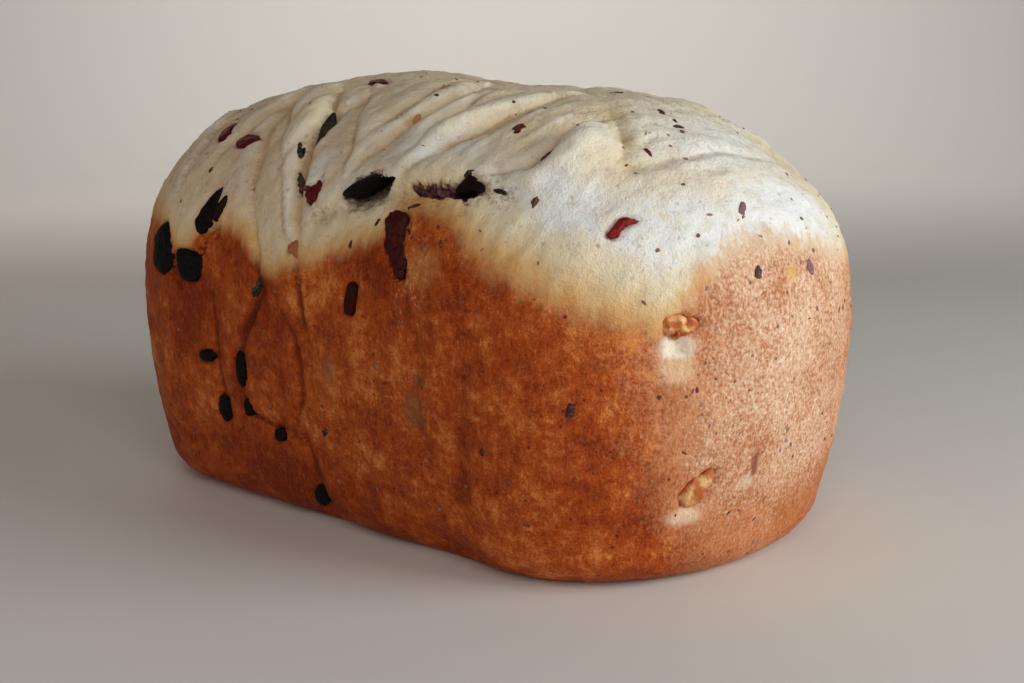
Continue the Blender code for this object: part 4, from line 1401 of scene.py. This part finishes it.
def bed_pieces(loaf, pieces):
    """Press the loaf's skin in round and under each piece, so that each lies in a socket of its own."""
    mesh = loaf.data
    points, normals = points_of(mesh), normals_of(mesh)
    pushed = np.zeros(len(points))
    halo = np.zeros(len(points))
    for piece in pieces:
        tree = tree_of(piece.data)
        own = points_of(piece.data)
        low, high = own.min(0) - BED_REACH, own.max(0) + BED_REACH
        near = np.flatnonzero(((points > low) & (points < high)).all(1))
        dip = BEDS.get(piece.name, BED)
        for index in near:
            spot = Vector(points[index])
            hit, facing_out, _, away = tree.find_nearest(spot)
            if hit is None:
                continue
            inside = (spot - hit).dot(facing_out) < 0
            reach = -away if inside else away
            share = 1 - smooth_step(np.array(reach / MM), dip[1], dip[1] + dip[2])
            pushed[index] = max(pushed[index], float(share) * dip[0])
            halo[index] = max(halo[index], math.exp(-((max(reach, 0) / HALO_REACH) ** 2)))
    move_to(mesh, points - normals * (pushed * MM)[:, None])
    set_attribute(mesh, "halo", halo)
    return pushed


def fruit_bits(surface, finish):
    """Small bits of fruit and nut, one by one, each a flat lumpy chip almost level with the crust."""
    bm = bmesh.new()
    tints = []
    for number, (middle, size, turn, kind) in enumerate(BITS):
        place, normal, _, _ = surface.find_nearest(Vector(middle) * MM)
        chip = bmesh.ops.create_icosphere(bm, subdivisions=4, radius=1.0)["verts"]
        shift = Vector((number * 3.3, number * 1.7, 0))
        half = [size[0] * MM / 2, size[1] * MM / 2, BIT_THICKNESS / 2]
        frame = facing(place + normal * (BIT_PROUD - half[2]), normal, math.radians(turn))
        for vert in chip:
            swell = lumpy(vert.co, BIT_LUMPS, shift)
            vert.co = frame @ Vector(c * swell * h for c, h in zip(vert.co, half))
        tints += [shown(BIT_COLOURS[kind])] * len(chip)
    mesh = bpy.data.meshes.new("fruit_bits")
    bm.to_mesh(mesh)
    bm.free()
    mesh.shade_smooth()
    set_attribute(mesh, "tint", tints, "FLOAT_COLOR")
    bits = as_object("fruit_bits", mesh, finish)
    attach(bits, "root")
    return bits


def plain_finish(name, colour, roughness):
    """One colour, very slightly cloudy."""
    finish = Finish(name, Roughness=roughness)
    cloudy = finish.noise(finish.place, 0.4, 2.0)
    return finish.dress(Base_Color=finish.mix(cloudy, colour, tuple(c + 4 for c in colour)))


def build_floor():
    """A pale floor that curves up into a backdrop."""
    bm = bmesh.new()
    sweep = [(FLOOR_FRONT, 0.0), (FLOOR_BACK, 0.0)]
    for turn in np.linspace(0.1, math.pi / 2, 12):
        sweep.append((FLOOR_BACK + SWEEP_RADIUS * math.sin(turn), SWEEP_RADIUS * (1 - math.cos(turn))))
    sweep.append((FLOOR_BACK + SWEEP_RADIUS, WALL_TOP))
    rows = [[bm.verts.new((x, y, z)) for y, z in sweep] for x in (-FLOOR_REACH, FLOOR_REACH)]
    for column in range(len(sweep) - 1):
        bm.faces.new((rows[0][column], rows[1][column], rows[1][column + 1], rows[0][column + 1]))
    mesh = bpy.data.meshes.new("floor")
    bm.transform(Matrix.Rotation(FLOOR_TURN, 4, "Z"))
    bm.to_mesh(mesh)
    bm.free()
    mesh.shade_smooth()
    as_object("floor", mesh, plain_finish("pale_floor", FLOOR_COLOUR, 0.8))


def build_lamps():
    """Soft lamps round the loaf, one for the backdrop alone, and a dim warm room."""
    for name, place, size, watts, colour, aim in LAMPS:
        light = bpy.data.lights.new(name, "AREA")
        light.shape = "RECTANGLE"
        light.size, light.size_y = size
        light.energy = watts
        light.color = colour
        thing = bpy.data.objects.new(name, light)
        thing.location = place
        thing.rotation_euler = (Vector(aim) - Vector(place)).to_track_quat("-Z", "Y").to_euler()
        bpy.context.scene.collection.objects.link(thing)

    world = bpy.data.worlds.new("room")
    bpy.context.scene.world = world
    world.use_nodes = True
    sky = world.node_tree.nodes["Background"]
    sky.inputs[0].default_value = ROOM_COLOUR
    sky.inputs[1].default_value = ROOM_STRENGTH


def build_camera():
    """The camera that took the photograph, with plain colours."""
    eye = bpy.data.cameras.new("camera")
    eye.lens, eye.sensor_width = CAMERA_LENS, SENSOR
    camera = bpy.data.objects.new("camera", eye)
    camera.location = CAMERA_PLACE
    aim = Vector(CAMERA_AIM) - Vector(CAMERA_PLACE)
    camera.rotation_euler = aim.to_track_quat("-Z", "Y").to_euler()
    bpy.context.scene.collection.objects.link(camera)
    bpy.context.scene.camera = camera
    bpy.context.scene.view_settings.view_transform = "Standard"


def main():
    """Dress the loaf and its fruit, and set the stage."""
    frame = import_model()

    crust = crust_finish()
    loaf = as_object("bread", loaf_mesh(), crust)
    surface = tree_of(loaf.data)
    tear_mouths(loaf)
    finishes = {"raisin": raisin_finish(), "cranberry": cranberry_finish(), "walnut": walnut_finish()}
    pieces = []
    for number, (name, node) in enumerate(sorted(frame["nodes"].items())):
        kind = name.rsplit("_", 1)[0]
        if kind in finishes:
            pieces.append(fine_piece(node, finishes[kind], number * PIECE_SEED, surface))
    fine_relief(crust).use_on(loaf, RELIEF_SIZES)
    pushed = bed_pieces(loaf, pieces)
    loaf.data.shade_smooth()
    above_heel = smooth_step(points_of(loaf.data)[:, 2], *ABOVE_HEEL)
    # How sunk each point is: the finish paints a highlight where it stands above its surroundings, and shade in its
    # valleys and pits
    set_attribute(loaf.data, "valley", sunk(loaf.data, VALLEY_ROUNDS) * above_heel)
    set_attribute(loaf.data, "pit", sunk(loaf.data, PIT_ROUNDS) * above_heel)
    toast, floury = (attribute_of(loaf.data, name) for name in ("toast", "floury"))
    calm = (pushed < SPECKLED_SKIN) & (points_of(loaf.data)[:, 2] > SPECKLED_ABOVE)
    set_attribute(loaf.data, "speckled", calm * (1.6 - toast) * (1 - 0.65 * floury))

    flecks = as_object("fruit_flecks", loaf.data.copy())
    fleck_scatter(fleck_finish()).use_on(flecks, FLECK_SIZES)
    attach(flecks, "root")
    fruit_bits(tree_of(loaf.data), bit_finish())
    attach(loaf, "root")
    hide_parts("loaf")

    build_floor()
    build_lamps()
    build_camera()


main()
